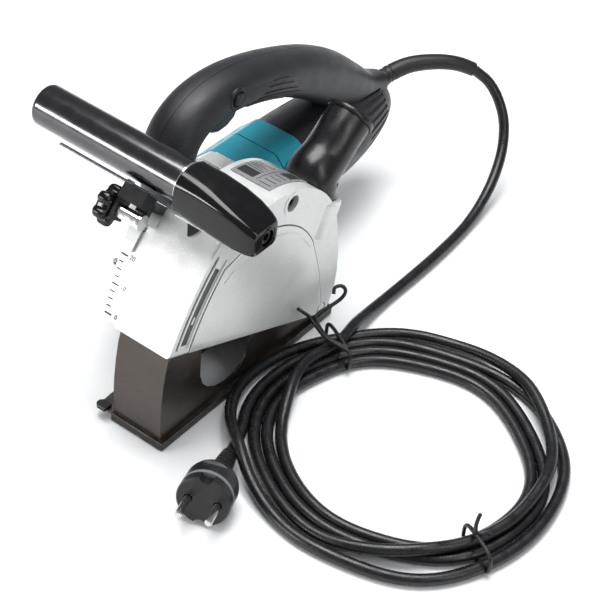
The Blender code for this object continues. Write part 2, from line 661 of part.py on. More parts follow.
def gear_housing():
    """The aluminium head: round at its front corner, cut away below for the base, and open to the motor behind."""
    front, right, left = -25.5, -86.0, -COVER_HALF - GAP
    rear = TEAL_START - GAP
    outline = [(left, front), (left, rear), (right - 8, rear), (right - 8, 32.0), (right, 12.0)]
    outline += [(right + 32 - 32 * math.cos(t), front + 32 - 32 * math.sin(t))
                for t in (math.radians(90 * i / 5) for i in range(6))]
    bm = prism(outline, "z", 32.0, 102.5)
    level = [edge for edge in bm.edges if abs(edge.verts[0].co.z - edge.verts[1].co.z) < 0.01]
    bmesh.ops.bevel(bm, geom=level, offset=8.0, segments=1, affect="EDGES", profile=0.5)
    housing = finish(bm, "gear_housing", "cast_aluminium")
    below = [(-60.0, depth_line(-60.0, 24.4)), (61.0, depth_line(61.0, 24.4)), (61.0, -20.0), (-60.0, -20.0)]
    gears = [(0, -84.4), (8.8, -84.4), (8.8, -78.5), (14.0, -78.5), (14.0, -62.0), (21.2, -62.0), (21.2, -38.0),
             (16.3, -38.0), (16.3, -15.0), (0, -15.0)]
    fan_room = [(0, 12.0), (12.8, 12.0), (12.8, 45.0), (30.5, 45.0), (30.5, 75.0), (0, 75.0)]
    cut(housing, prism(below, "x", -120.0, 0.0))
    cut(housing, lathe(gears, (0, WHEEL_Y, WHEEL_Z), (1, 0, 0), 24))
    cut(housing, lathe(fan_room, (MOTOR_X, 0, WHEEL_Z), (0, 1, 0), 26))
    cut(housing, rod((MOTOR_X + 6, front - 5, WHEEL_Z + 25), (0, 1, 0), 4.3, 14.0, 20))
    base, up = duct_axis()
    cut(housing, rod(base - up * 20, up, 25.4, 50.0, 28))


def shaft_lock_button():
    """The button on the gear housing's nose that holds the spindle while the wheels are changed."""
    profile = [(0, 0), (3.9, 0), (3.9, 8.5), (5.6, 8.5), (5.6, 11.4), (4.8, 12.2), (0, 12.2)]
    at = (MOTOR_X + 6, -20.0, WHEEL_Z + 25)
    finish(lathe(profile, at, (0, -1, 0), 20), "shaft_lock_button", "black_plastic", at)


def motor_housing():
    def section(y, radius, power):
        loop = []
        for i in range(32):
            turn = math.tau * (i + 0.5) / 32
            c, s = math.cos(turn), math.sin(turn)
            loop.append((MOTOR_X + radius * math.copysign(abs(c) ** power, c), y,
                         WHEEL_Z + radius * math.copysign(abs(s) ** power, s)))
        return loop

    shell = loft([section(TEAL_START, 35.0, 0.8), section(TEAL_END, 34.5, 0.85)])
    housing = finish(shell, "motor_housing", "teal_plastic")
    cut(housing, rod((MOTOR_X, 50.0, WHEEL_Z), (0, 1, 0), 30.6, 90.0, 32))


# ---------------------------------------------------------------- handle

# The handle's centre line from its front foot to the cord, as (y, z, half height, half width)
HANDLE_LINE = ((6.0, 102.9, 17.0, 16.0), (1.0, 122.0, 17.0, 16.5), (-0.5, 140.0, 17.0, 17.0),
               (3.0, 155.5, 17.5, 17.5), (14.0, 166.0, 17.5, 17.5), (32.0, 171.3, 17.5, 17.5),
               (55.0, 171.0, 17.5, 17.5), (82.0, 165.5, 18.0, 17.5), (112.0, 155.5, 19.0, 17.5),
               (142.0, 141.0, 20.5, 17.5), (170.0, 123.0, 21.0, 17.0), (196.0, 103.0, 18.5, 15.5),
               (220.0, 86.0, 14.5, 13.0), (243.0, 78.5, 10.5, 10.5))


def handle_loop(thinner):
    """The D-shaped handle along its centre line."""
    sections = []
    stations = HANDLE_LINE
    if thinner:
        stations = ((6.0, 99.0, 17.0, 16.0), *HANDLE_LINE[1:-2])
    for i, (y, z, high, wide) in enumerate(stations):
        before = stations[max(i - 1, 0)]
        after = stations[min(i + 1, len(stations) - 1)]
        along = Vector((after[0] - before[0], after[1] - before[1])).normalized()
        if i == 0:
            along = Vector((0.0, 1.0))
        across = Vector((-along.y, along.x))
        loop = []
        for k in range(16):
            turn = math.tau * (k + 0.5) / 16
            c, s = math.cos(turn), math.sin(turn)
            power = 0.85
            lift = (high - thinner) * math.copysign(abs(s) ** power, s)
            loop.append((MOTOR_X + (wide - thinner) * math.copysign(abs(c) ** power, c),
                         y + across.x * lift, z + across.y * lift))
        sections.append(loop)
    return loft(sections)


def tail(thinner):
    """The motor's black rear housing, which narrows to the cord."""
    start = TEAL_END + GAP
    profile = [(34.5, start), (34.0, 148.0), (32.6, 174.0), (30.2, 196.0), (26.5, 214.0), (21.5, 231.0),
               (16.5, 242.0), (12.0, 248.0)]
    if thinner:
        profile = [(34.5, start - 3), *profile[1:-2], (17.8, 239.0)]
    sections = []
    for radius, y in profile:
        turns = (math.tau * (k + 0.5) / 24 for k in range(24))
        reach = radius - thinner
        sections.append([(MOTOR_X + reach * math.cos(t), y, WHEEL_Z + reach * math.sin(t)) for t in turns])
    return loft(sections)


TRIGGER_PIVOT = (31.0, 163.0)
BUTTON_AT = (47.0, 171.0)


def handle_halves():
    for side, name in ((1, "left"), (-1, "right")):
        half = finish(handle_loop(0.0), "handle_" + name, "black_plastic")
        join(half, tail(0.0))
        cut(half, handle_loop(3.2))
        cut(half, tail(3.2))
        limits = sorted((MOTOR_X + side * 0.15, MOTOR_X + side * 90.0))
        keep(half, box((limits[0], -60, 20), (limits[1], 300, 220)))
        cut(half, box((MOTOR_X - 6.3, 28.0, 130.0), (MOTOR_X + 6.3, 70.0, 164.0)))
        cut(half, rod((MOTOR_X, 240.0, 78.0), (0, 1, 0), 7.4, 30.0, 20))
        if side > 0:
            cut(half, rod((MOTOR_X + 5, *BUTTON_AT), (1, 0, 0), 4.9, 30, 20))


def trigger():
    """The switch trigger, which swings on a pin at its front end."""
    y, z = TRIGGER_PIVOT
    outline = [(y - 2.0, z + 3.0), (y - 2.0, z - 8.0), (y + 1.5, z - 15.5), (y + 7.0, z - 20.5), (y + 14.0, z - 23.0),
               (y + 23.0, z - 22.5), (y + 30.0, z - 19.0), (y + 33.0, z - 13.0), (y + 33.0, z - 6.0), (y + 6.0, z + 3.0)]
    bm = prism(outline, "x", MOTOR_X - 5.6, MOTOR_X + 5.6)
    finish(bm, "trigger", "black_plastic", (MOTOR_X, y, z))


def controls():
    y, z = BUTTON_AT
    finish(rod((MOTOR_X + 8.0, y, z), (1, 0, 0), 4.5, 11.2, 20, 1.0), "lock_on_button", "black_plastic",
           (MOTOR_X + 8.0, y, z))
    finish(box((MOTOR_X - 8.0, 68.0, 158.0), (MOTOR_X + 8.0, 92.0, 170.0)), "switch_body", "black_plastic")


# ---------------------------------------------------------------- dust nozzle

def dust_nozzle():
    """The elbow that joins the cover's outlet to a vacuum hose."""
    base, up = duct_axis()
    foot = base + up * 11.5
    line = smooth([foot, foot + up * 2.6, foot + up * 10.0, Vector((0, 98.0, 132.0)), Vector((0, 117.0, 145.5))], 2)
    radii = [20.4, 20.4, 20.0, 18.4, 16.4, 16.0, 15.8, 15.8, 15.8]
    outer, inner = [], []
    for i, spot in enumerate(line):
        before, after = line[max(i - 1, 0)], line[min(i + 1, len(line) - 1)]
        side = Vector((1, 0, 0))
        over = (after - before).normalized().cross(side)
        for radius, loops in ((radii[i], outer), (13.2, inner)):
            turns = (math.tau * k / 18 for k in range(18))
            loops.append([spot + radius * (math.cos(t) * side + math.sin(t) * over) for t in turns])
    finish(loft(outer + inner[::-1], closed=True), "dust_nozzle", "black_plastic")
    along = (line[-1] - line[-2]).normalized()
    finish(ring(line[-1] - along * 6.0, along, 16.2, 18.0, 7.0, 24), "nozzle_ring", "black_plastic")


# ---------------------------------------------------------------- cord

GUARD_ROUTE = ((-60.0, 247.5, 78.0), (-58.5, 258.0, 80.5), (-51.0, 274.0, 84.5), (-38.5, 290.0, 85.5),
               (-27.0, 302.0, 83.5), (-17.0, 311.5, 78.5))
CORD_ROUTE = ((-17.0, 311.5, 78.5), (-6.0, 318.5, 69.5), (5.0, 319.0, 58.0), (15.5, 313.0, 44.5),
              (24.5, 300.0, 30.5), (31.5, 281.0, 18.5), (36.5, 258.0, 9.5), (40.0, 232.0, 4.6),
              (42.5, 200.0, 4.3), (43.5, 165.0, 4.3), (43.5, 130.0, 4.3), (45.0, 104.0, 4.6), (50.6, 84.5, 6.5))
PLUG_NECK = Vector((60.2, -70.8, 8.5))
PLUG_FACE = Vector((79.0, -122.0, 18.6))


def evenly(line, step):
    """Points a step apart along a line."""
    picked, gone = [line[0]], 0.0
    for before, after in zip(line, line[1:]):
        gone += (after - before).length
        if gone >= step:
            picked.append(after)
            gone = 0.0
    if (picked[-1] - line[-1]).length > step * 0.4:
        picked.append(line[-1])
    else:
        picked[-1] = line[-1]
    return picked


def cord_guard():
    line = smooth(GUARD_ROUTE, 3)
    count = len(line) - 1
    outer, inner = [], []
    for i, spot in enumerate(line):
        before, after = line[max(i - 1, 0)], line[min(i + 1, count)]
        side, over = frame_of(after - before)
        radius = 6.9 - 1.5 * i / count
        for reach, loops in ((radius, outer), (CORD_R + 0.2, inner)):
            turns = (math.tau * k / 10 for k in range(10))
            loops.append([spot + reach * (math.cos(t) * side + math.sin(t) * over) for t in turns])
    start, stop = [middle_of(outer[0])], [middle_of(inner[count // 2 + 1])]
    finish(loft([start, *outer, *inner[:count // 2:-1], stop]), "cord_guard", "rubber")


def middle_of(loop):
    return sum(loop, Vector()) / len(loop)


def cord():
    line = evenly(smooth(CORD_ROUTE, 12), 9.0)
    toward = (line[1] - line[0]).normalized()
    line[0] = line[0] + toward * GAP
    wire("cord", "rubber", line, CORD_R, 2)


def cord_coil():
    width = (COIL_OUT - COIL_IN) / 2
    half = COIL_TOP / 2
    middle = (COIL_OUT + COIL_IN) / 2
    profile = []
    for i in range(8):
        turn = math.tau * (i + 0.5) / 8
        c, s = math.cos(turn), math.sin(turn)
        profile.append((middle + width * math.copysign(abs(c) ** 0.6, c) / math.cos(math.pi / 12) ** 0.6,
                        half + half * math.copysign(abs(s) ** 0.6, s) / math.sin(math.tau * 2.5 / 12) ** 0.6))
    finish(lathe(profile, (COIL_X, COIL_Y, 0), (0, 0, 1), 32), "cord_coil", "rubber")


def plug():
    along = (PLUG_FACE - PLUG_NECK).normalized()
    length = (PLUG_FACE - PLUG_NECK).length
    profile = [(0, 0), (5.2, 0), (5.6, 12.0), (7.2, 21.0), (10.5, 27.0), (15.5, 30.5), (17.6, 35.0),
               (17.2, 42.0), (17.2, length - 1.2), (17.0, length), (0, length)]
    body = finish(lathe(profile, PLUG_NECK, along, 20), "plug", "rubber")
    flat = along.cross(Vector((0, 0, 1))).normalized()
    for side, name in ((-1, "right"), (1, "left")):
        foot = PLUG_FACE + flat * side * 9.5
        cut(body, rod(foot - along * 6.0, along, 2.75, 12.0, 16))
        finish(rod(foot - along * 5.5, along, 2.4, 24.5, 16, 0.8), "plug_pin_" + name, "brass")


def ties():
    """Wire ties round the coil's turns, as loops just outside the coil's solid."""
    for name, degrees in (("tie_front", 152.0), ("tie_rear", -17.0)):
        out = Vector((math.cos(math.radians(degrees)), math.sin(math.radians(degrees)), 0))
        middle = Vector((COIL_X, COIL_Y, 0)) + out * (COIL_IN + COIL_OUT) / 2
        line = []
        for i in range(15):
            turn = math.radians(-38 + 256 * i / 14)
            c, s = math.cos(turn), math.sin(turn)
            across = 18.3 * math.copysign(abs(c) ** 0.6, c)
            line.append(middle + out * across + Vector((0, 0, 9.8 + 9.4 * math.copysign(abs(s) ** 0.6, s))))
        wire(name, "rubber", line, 0.8, 1)


def main():
    for made in list(bpy.data.objects):
        bpy.data.objects.remove(made, do_unlink=True)
    wheel_cover()
    side_plate()
    side_plate_screw()
    label_plate()
    sight_pointer()
    base_shoe()
    sole_plate()
    base_tab()
    pivot_pin()
    return_spring()
    depth_stop()
    clamp_knob()
    grip()
    drive()
    bearings()
    motor_parts()
    gear_housing()
    shaft_lock_button()
    motor_housing()
    handle_halves()
    trigger()
    controls()
    dust_nozzle()
    cord_guard()
    cord()
    cord_coil()
    plug()
    ties()


main()
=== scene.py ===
"""Looks of a twin-wheel wall chaser, on a pale floor in soft studio light."""

import math

import bmesh
import bpy
import numpy as np
from mathutils import Matrix, Vector


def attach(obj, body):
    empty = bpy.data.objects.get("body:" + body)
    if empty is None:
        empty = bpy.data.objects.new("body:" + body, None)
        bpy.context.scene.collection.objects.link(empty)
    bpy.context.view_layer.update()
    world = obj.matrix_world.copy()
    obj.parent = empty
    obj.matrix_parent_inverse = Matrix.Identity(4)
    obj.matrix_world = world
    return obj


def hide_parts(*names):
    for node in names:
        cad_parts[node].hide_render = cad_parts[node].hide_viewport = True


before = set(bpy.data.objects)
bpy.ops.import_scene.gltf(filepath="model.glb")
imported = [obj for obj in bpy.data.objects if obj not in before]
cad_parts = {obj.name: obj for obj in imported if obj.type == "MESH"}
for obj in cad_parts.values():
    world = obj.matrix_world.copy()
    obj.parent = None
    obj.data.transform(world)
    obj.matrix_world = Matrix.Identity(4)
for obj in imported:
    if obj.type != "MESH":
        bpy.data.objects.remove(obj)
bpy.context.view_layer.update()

MM = 0.001

# The part's origin as seen from the datum under the middle of the wheel cover. Lengths below are millimetres from
# that datum unless they say otherwise.
ORIGIN = Vector((-40.25, 109.94, 0.0))

WHEEL_D = 125.0
AXLE = Vector((0.0, 2.0, 66.0))
PIVOT = Vector((0.0, 76.0, 15.0))
MOTOR_X, MOTOR_Z = -60.0, 66.0
COVER_HALF = 22.5
COVER_WALL = 2.2
COVER_SLOPE = -22.68
STOP_DEG, STOP_R = 42.45, 190.4
GRIP_Y, GRIP_Z = -42.0, 170.0
TEAL_START, TEAL_END = 62.3, 121.5
BOSS_AT = (24.3, 135.4)
# The slot of the depth stop and the scale flange are arcs round the pivot, between two angles.
SLOT_IN, SLOT_OUT = 165.3, 171.8
SLOT_START, SLOT_END = 23.6, 41.6
SCALE_R = 180.0
FLANGE_START, FLANGE_REACH = 21.6, 20.9
ZERO_MARK, MARK_STEP = 23.0, 1.53
LABEL_R = 82.7
CORD_R = 4.0
COIL = Vector((136.5, 12.0, 0.0))
COIL_R = 125.0


# -------------------------------- making objects

def row(point):
    """A datum point in the row frame, in metres."""
    return (Vector(point) - ORIGIN) * MM


def linked(name, data):
    made = bpy.data.objects.new(name, data)
    bpy.context.scene.collection.objects.link(made)
    return made


def finish(bm, name, sharp=35.0, smooth=True):
    """Turns a bmesh in datum millimetres into an object."""
    bmesh.ops.recalc_face_normals(bm, faces=bm.faces)
    for vertex in bm.verts:
        vertex.co = row(vertex.co)
    mesh = bpy.data.meshes.new(name)
    bm.to_mesh(mesh)
    bm.free()
    if smooth:
        mesh.shade_smooth()
        mesh.set_sharp_from_angle(angle=math.radians(sharp))
    return linked(name, mesh)


def settle(made, sharp=35.0):
    """Applies the object's modifiers and removes its hidden helpers."""
    bpy.context.view_layer.update()
    graph = bpy.context.evaluated_depsgraph_get()
    mesh = bpy.data.meshes.new_from_object(made.evaluated_get(graph))
    helpers = [m.object for m in made.modifiers if m.type == "BOOLEAN"]
    made.modifiers.clear()
    made.data = mesh
    mesh.shade_smooth()
    mesh.set_sharp_from_angle(angle=math.radians(sharp))
    for helper in helpers:
        bpy.data.objects.remove(helper, do_unlink=True)


def boolean(target, bm, operation):
    change = target.modifiers.new(operation.lower(), "BOOLEAN")
    change.operation = operation
    change.solver = "EXACT"
    change.object = finish(bm, "helper")
    change.object.hide_render = True


def cut(target, *shapes):
    for bm in shapes:
        boolean(target, bm, "DIFFERENCE")


def join(target, *shapes):
    for bm in shapes:
        boolean(target, bm, "UNION")


def soften(made, width, angle=32.0):
    """Rounds an object's sharp edges a little, so that they catch the light."""
    if made.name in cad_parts:
        made.modifiers.new("weld", "WELD").merge_threshold = 1e-6
    bevel = made.modifiers.new("bevel", "BEVEL")
    bevel.width = width * MM
    bevel.segments = 2
    bevel.limit_method = "ANGLE"
    bevel.angle_limit = math.radians(angle)
    made.modifiers.new("normals", "WEIGHTED_NORMAL").keep_sharp = True


def set_finish(made, finish_name):
    made.data.materials.clear()
    made.data.materials.append(FINISHES[finish_name])


def dress(made, finish_name, body="tool_body", replaced=()):
    """Gives an object its material and its body, and hides the CAD nodes that it stands for."""
    set_finish(made, finish_name)
    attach(made, body)
    if replaced:
        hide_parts(*replaced)


# -------------------------------- shapes, as bmeshes in datum millimetres

def rings(bm, loops, closed):
    pairs = list(zip(loops, loops[1:]))
    if closed:
        pairs.append((loops[-1], loops[0]))
    for low, high in pairs:
        count = max(len(low), len(high))
        for i in range(count):
            corners = []
            for vertex in (low[i % len(low)], low[(i + 1) % len(low)],
                           high[(i + 1) % len(high)], high[i % len(high)]):
                if vertex not in corners:
                    corners.append(vertex)
            if len(corners) > 2:
                bm.faces.new(corners)
    if not closed:
        for loop in (loops[0], loops[-1]):
            if len(loop) > 2:
                bm.faces.new(loop)


def loft(sections, closed=False):
    bm = bmesh.new()
    rings(bm, [[bm.verts.new(point) for point in section] for section in sections], closed)
    return bm


def prism(outline, axis, low, high, round_edge=0.0, steps=3):
    """An outline pushed along an axis, with the edges of its two ends rounded."""
    def place(point, along):
        where = list(point)
        where.insert("xyz".index(axis), along)
        return where
    bm = loft([[place(point, along) for point in outline] for along in (low, high)])
    if round_edge:
        k = "xyz".index(axis)
        rim = [e for e in bm.edges if abs(e.verts[0].co[k] - e.verts[1].co[k]) < 1e-4]
        bmesh.ops.bevel(bm, geom=rim, offset=round_edge, segments=steps, affect="EDGES", profile=0.5)
    return bm


def box(low, high):
    outline = [(low[1], low[2]), (high[1], low[2]), (high[1], high[2]), (low[1], high[2])]
    return prism(outline, "x", low[0], high[0])


def box_at(centre, axes, halves):
    """A box with its own axes."""
    bm = bmesh.new()
    bmesh.ops.create_cube(bm, size=2.0)
    for vertex in bm.verts:
        vertex.co = sum((a * h * c for a, h, c in zip(axes, halves, vertex.co)), Vector(centre))
    return bm


def gather(whole, part):
    """Adds one bmesh to another and frees it."""
    mesh = bpy.data.meshes.new("part")
    part.to_mesh(mesh)
    part.free()
    whole.from_mesh(mesh)
    bpy.data.meshes.remove(mesh)


def bulge(value, power):
    """A signed power: below 1 it squares off a circle's sine and cosine."""
    return math.copysign(abs(value) ** power, value)


def frame_of(direction):
    along = Vector(direction).normalized()
    helper = Vector((0, 0, 1)) if abs(along.z) < 0.9 else Vector((0, 1, 0))
    side = helper.cross(along).normalized()
    return side, along.cross(side)


def lathe(profile, base, direction, steps=48):
    """Turns a profile of (radius, distance along) about the line from base; radius 0 lies on the line."""
    along = Vector(direction).normalized()
    side, up = frame_of(along)
    bm = bmesh.new()
    loops = []
    for radius, distance in profile:
        centre = Vector(base) + along * distance
        if radius == 0:
            loops.append([bm.verts.new(centre)])
            continue
        turns = (math.tau * i / steps for i in range(steps))
        loops.append([bm.verts.new(centre + radius * (math.cos(t) * side + math.sin(t) * up)) for t in turns])
    solid = len(loops[0]) == 1 or len(loops[-1]) == 1
    rings(bm, loops, closed=not solid)
    return bm


def rod(base, direction, radius, length, steps=32):
    return lathe([(0, 0), (radius, 0), (radius, length), (0, length)], base, direction, steps)


def tube(line, radii, sides):
    """A skin of varying radius along a line of points, carried along without twisting."""
    sections = []
    side = frame_of(line[1] - line[0])[0]
    for i, here in enumerate(line):
        along = (line[min(i + 1, len(line) - 1)] - line[max(i - 1, 0)]).normalized()
        side = (side - along * side.dot(along)).normalized()
        over = along.cross(side)
        turns = (math.tau * k / sides for k in range(sides))
        sections.append([here + radii[i] * (math.cos(t) * side + math.sin(t) * over) for t in turns])
    return loft(sections)


def polar(radius, degrees, centre=PIVOT):
    """A (y, z) point ahead of a centre: 0 degrees is straight ahead, towards minus y, and 90 straight up."""
    turn = math.radians(degrees)
    return centre.y - radius * math.cos(turn), centre.z + radius * math.sin(turn)


def arc(radius, start, end, count, centre=PIVOT):
    return [polar(radius, start + (end - start) * i / (count - 1), centre) for i in range(count)]


def polar_axes(degrees):
    """Across, outwards and round, at an angle ahead of the pivot."""
    turn = math.radians(degrees)
    out = Vector((0, -math.cos(turn), math.sin(turn)))
    up = Vector((0, math.sin(turn), math.cos(turn)))
    return Vector((1, 0, 0)), out, up


def band(inner, outer, start, end, count, low, high, centre=PIVOT):
    """A strip of a ring round a centre, from one x to another."""
    return prism(arc(outer, start, end, count, centre) + arc(inner, end, start, count, centre), "x", low, high)


def smooth(points, per_span):
    """A smooth curve through the points, as Catmull-Rom spans."""
    points = [Vector(p) for p in points]
    padded = [2 * points[0] - points[1], *points, 2 * points[-1] - points[-2]]
    line = []
    for a, b, c, d in zip(padded, padded[1:], padded[2:], padded[3:]):
        for i in range(per_span):
            t = i / per_span
            line.append(0.5 * (2 * b + (c - a) * t + (2 * a - 5 * b + 4 * c - d) * t * t
                               + (3 * b - a - 3 * c + d) * t ** 3))
    line.append(points[-1])
    return line


def evenly(line, step):
    """The line walked again with points that far apart."""
    points = np.array([tuple(p) for p in line])
    gone = np.concatenate([[0.0], np.cumsum(np.linalg.norm(np.diff(points, axis=0), axis=1))])
    count = max(int(round(gone[-1] / step)), 2)
    marks = np.linspace(0.0, gone[-1], count + 1)
    return [Vector(p) for p in np.stack([np.interp(marks, gone, points[:, k]) for k in range(3)], axis=1)]


# -------------------------------- materials

NOISE_RANGE = (0.3, 0.7)


def noise_of(tree, coords, scale, detail, stretch=None):
    """A noise over the object's own coordinates, in metres."""
    if stretch:
        mapping = tree.nodes.new("ShaderNodeMapping")
        mapping.inputs["Scale"].default_value = stretch
        tree.links.new(coords, mapping.inputs["Vector"])
        coords = mapping.outputs["Vector"]
    made = tree.nodes.new("ShaderNodeTexNoise")
    made.inputs["Scale"].default_value = scale
    made.inputs["Detail"].default_value = detail
    tree.links.new(coords, made.inputs["Vector"])
    return made.outputs["Fac"]


def ramp_of(tree, value, *stops):
    """A colour that runs between two (value, colour) stops."""
    made = tree.nodes.new("ShaderNodeValToRGB")
    for element, (position, colour) in zip(made.color_ramp.elements, stops):
        element.position = position
        element.color = (*colour, 1.0)
    tree.links.new(value, made.inputs["Fac"])
    return made.outputs["Color"]


def mapped(tree, value, start, end, low=0.0, high=1.0):
    made = tree.nodes.new("ShaderNodeMapRange")
    for socket, amount in (("From Min", start), ("From Max", end), ("To Min", low), ("To Max", high)):
        made.inputs[socket].default_value = amount
    tree.links.new(value, made.inputs["Value"])
    return made.outputs["Result"]


def mixed(tree, factor, first, second):
    made = tree.nodes.new("ShaderNodeMix")
    made.data_type = "RGBA"
    tree.links.new(factor, made.inputs[0])
    for value, socket in ((first, made.inputs[6]), (second, made.inputs[7])):
        if isinstance(value, tuple):
            socket.default_value = (*value, 1.0)
        else:
            tree.links.new(value, socket)
    return made.outputs[2]


def times(tree, first, second):
    made = tree.nodes.new("ShaderNodeMath")
    made.operation = "MULTIPLY"
    tree.links.new(first, made.inputs[0])
    tree.links.new(second, made.inputs[1])
    return made.outputs[0]


def height_of(tree, coords, low, high):
    """0 at one height and 1 at another, in millimetres."""
    parts = tree.nodes.new("ShaderNodeSeparateXYZ")
    tree.links.new(coords, parts.inputs[0])
    return mapped(tree, parts.outputs["Z"], low * MM, high * MM)


def finish_of(name, colour, rough, metallic, vary, vary_scale, rough_vary, grain, grain_scale, stretch=None,
              painted_low_sheen=None, coat=0.0, coat_rough=0.1, specks=None, specular=0.5):
    """A Principled material whose colour, roughness and bump vary over the surface.

    The painted low sheen, lighter patches low on a part that stand for reflection and highlight, is (height,
    lower height, colour): none above the first height, most below the second.
    """
    made = bpy.data.materials.new(name)
    made.use_nodes = True
    tree = made.node_tree
    shader = tree.nodes["Principled BSDF"]
    coords = tree.nodes.new("ShaderNodeTexCoord").outputs["Object"]
    low = tuple(c * (1 - vary) for c in colour)
    high = tuple(min(c * (1 + vary), 1.0) for c in colour)
    shade = ramp_of(tree, noise_of(tree, coords, vary_scale, 4.0), (0.35, low), (0.65, high))
    if specks:
        amount = mapped(tree, noise_of(tree, coords, 900.0, 2.0), *NOISE_RANGE, -3.2, 2.2)
        shade = mixed(tree, amount, shade, specks)
    # Lighter patches low on the part: painted reflection of the floor and painted edge highlight.
    if painted_low_sheen:
        patches = ramp_of(tree, noise_of(tree, coords, 140.0, 6.0), (0.46, (0.0,) * 3), (0.66, (1.0,) * 3))
        shade = mixed(tree, times(tree, height_of(tree, coords, painted_low_sheen[0], painted_low_sheen[1]), patches), shade, painted_low_sheen[2])
    tree.links.new(shade, shader.inputs["Base Color"])
    noise = noise_of(tree, coords, vary_scale * 2.5, 4.0, stretch)
    spread = mapped(tree, noise, *NOISE_RANGE, rough - rough_vary, rough + rough_vary)
    tree.links.new(spread, shader.inputs["Roughness"])
    for socket, amount in (("Metallic", metallic), ("Specular IOR Level", specular), ("Coat Weight", coat),
                           ("Coat Roughness", coat_rough)):
        shader.inputs[socket].default_value = amount
    bump = tree.nodes.new("ShaderNodeBump")
    bump.inputs["Strength"].default_value = grain
    bump.inputs["Distance"].default_value = 0.3 * MM
    tree.links.new(noise_of(tree, coords, grain_scale, 3.0, stretch), bump.inputs["Height"])
    tree.links.new(bump.outputs["Normal"], shader.inputs["Normal"])
    return made


# Each holds its name, colour, roughness, metallic, spread of colour and its scale, spread of roughness, and grain
# and its scale.
FINISHES = {
    "silver_paint": finish_of("cover_paint", (0.66, 0.67, 0.66), 0.34, 0.35, 0.03, 40.0, 0.06, 0.10, 1400.0,
                              specks=(0.72, 0.725, 0.715), coat=0.25, coat_rough=0.22),
    "cast_aluminium": finish_of("cast_aluminium", (0.56, 0.57, 0.57), 0.42, 0.6, 0.03, 200.0, 0.04, 0.45,
                                1100.0),
    "teal_plastic": finish_of("teal_shell", (0.012, 0.27, 0.36), 0.36, 0.0, 0.06, 50.0, 0.05, 0.18, 2600.0,
                              coat=0.15, coat_rough=0.25),
    "black_plastic": finish_of("moulded_black", (0.009, 0.0092, 0.0102), 0.38, 0.0, 0.15, 60.0, 0.07, 0.45,
                               2400.0, specular=0.4),
    "handle_plastic": finish_of("handle_black", (0.013, 0.0133, 0.0155), 0.40, 0.0, 0.12, 45.0, 0.06, 0.6,
                                2100.0, specular=0.42),
    "nozzle_plastic": finish_of("nozzle_black", (0.007, 0.007, 0.0078), 0.28, 0.0, 0.12, 45.0, 0.06, 0.15,
                                1800.0, specular=0.42),
    "gloss_black": finish_of("gloss_black", (0.003, 0.003, 0.0033), 0.16, 0.0, 0.10, 50.0, 0.04, 0.03, 900.0,
                             coat=0.12, coat_rough=0.05, specular=0.3),
    "gloss_tube": finish_of("gloss_tube", (0.10, 0.10, 0.103), 0.2, 1.0, 0.10, 50.0, 0.04, 0.03, 900.0),
    "steel": finish_of("turned_steel", (0.56, 0.57, 0.58), 0.26, 1.0, 0.08, 130.0, 0.08, 0.12, 1700.0,
                       stretch=(1.0, 1.0, 12.0)),
    "bright_steel": finish_of("plated_steel", (0.80, 0.80, 0.80), 0.16, 1.0, 0.05, 130.0, 0.05, 0.05, 900.0),
    # The base's lighter patches low on its walls are painted reflection of the floor.
    "base_steel": finish_of("base_lacquer", (0.075, 0.064, 0.057), 0.34, 0.85, 0.07, 30.0, 0.07, 0.12, 1500.0,
                            painted_low_sheen=(7.6, 6.2, (0.16, 0.15, 0.14))),
    # The sole's lighter strip along its bottom edge is a painted highlight.
    "black_steel": finish_of("sole_lacquer", (0.012, 0.0115, 0.011), 0.34, 0.3, 0.12, 60.0, 0.08, 0.2, 1300.0,
                             painted_low_sheen=(1.4, 0.2, (0.30, 0.29, 0.28))),
    "copper": finish_of("copper_winding", (0.62, 0.28, 0.12), 0.38, 0.9, 0.15, 300.0, 0.1, 0.5, 2200.0,
                        stretch=(1.0, 0.1, 1.0)),
    "carbon": finish_of("brush_carbon", (0.03, 0.03, 0.031), 0.7, 0.0, 0.2, 400.0, 0.08, 0.6, 3000.0),
    "brass": finish_of("brass", (0.70, 0.50, 0.20), 0.3, 1.0, 0.08, 200.0, 0.08, 0.1, 2000.0),
    "nickel": finish_of("nickel_pins", (0.62, 0.60, 0.57), 0.22, 1.0, 0.06, 200.0, 0.06, 0.1, 2000.0),
    "rubber": finish_of("cord_rubber", (0.009, 0.0091, 0.010), 0.30, 0.0, 0.3, 60.0, 0.13, 0.3, 1900.0,
                        specular=0.42),
    "plug_rubber": finish_of("plug_rubber", (0.010, 0.010, 0.011), 0.38, 0.0, 0.14, 60.0, 0.06, 0.5, 2200.0,
                             specular=0.4),
    "label": finish_of("plate_foil", (0.40, 0.41, 0.41), 0.28, 0.55, 0.06, 120.0, 0.06, 0.1, 900.0,
                       stretch=(0.2, 1.0, 1.0)),
    "dark_print": finish_of("dark_print", (0.02, 0.02, 0.022), 0.45, 0.0, 0.1, 100.0, 0.05, 0.1, 1500.0),
    "band_grey": finish_of("plug_band", (0.16, 0.165, 0.17), 0.45, 0.0, 0.08, 100.0, 0.05, 0.25, 1800.0),
}


# -------------------------------- camera, light and floor

def camera():
    back = Vector((0.41218, -0.65440, 0.66471)).normalized()
    right = Vector((0, 0, 1)).cross(back).normalized()
    up = back.cross(right)
    roll = math.radians(7.5)
    turned_right = right * math.cos(roll) + up * math.sin(roll)
    turned_up = up * math.cos(roll) - right * math.sin(roll)
    made = linked("camera", bpy.data.cameras.new("camera"))
    matrix = Matrix((turned_right, turned_up, back)).transposed().to_4x4()
    matrix.translation = Vector((0.58555, -0.89232, 0.8830))
    made.matrix_world = matrix
    made.data.sensor_width = 36.0
    made.data.lens = 116.2
    bpy.context.scene.camera = made


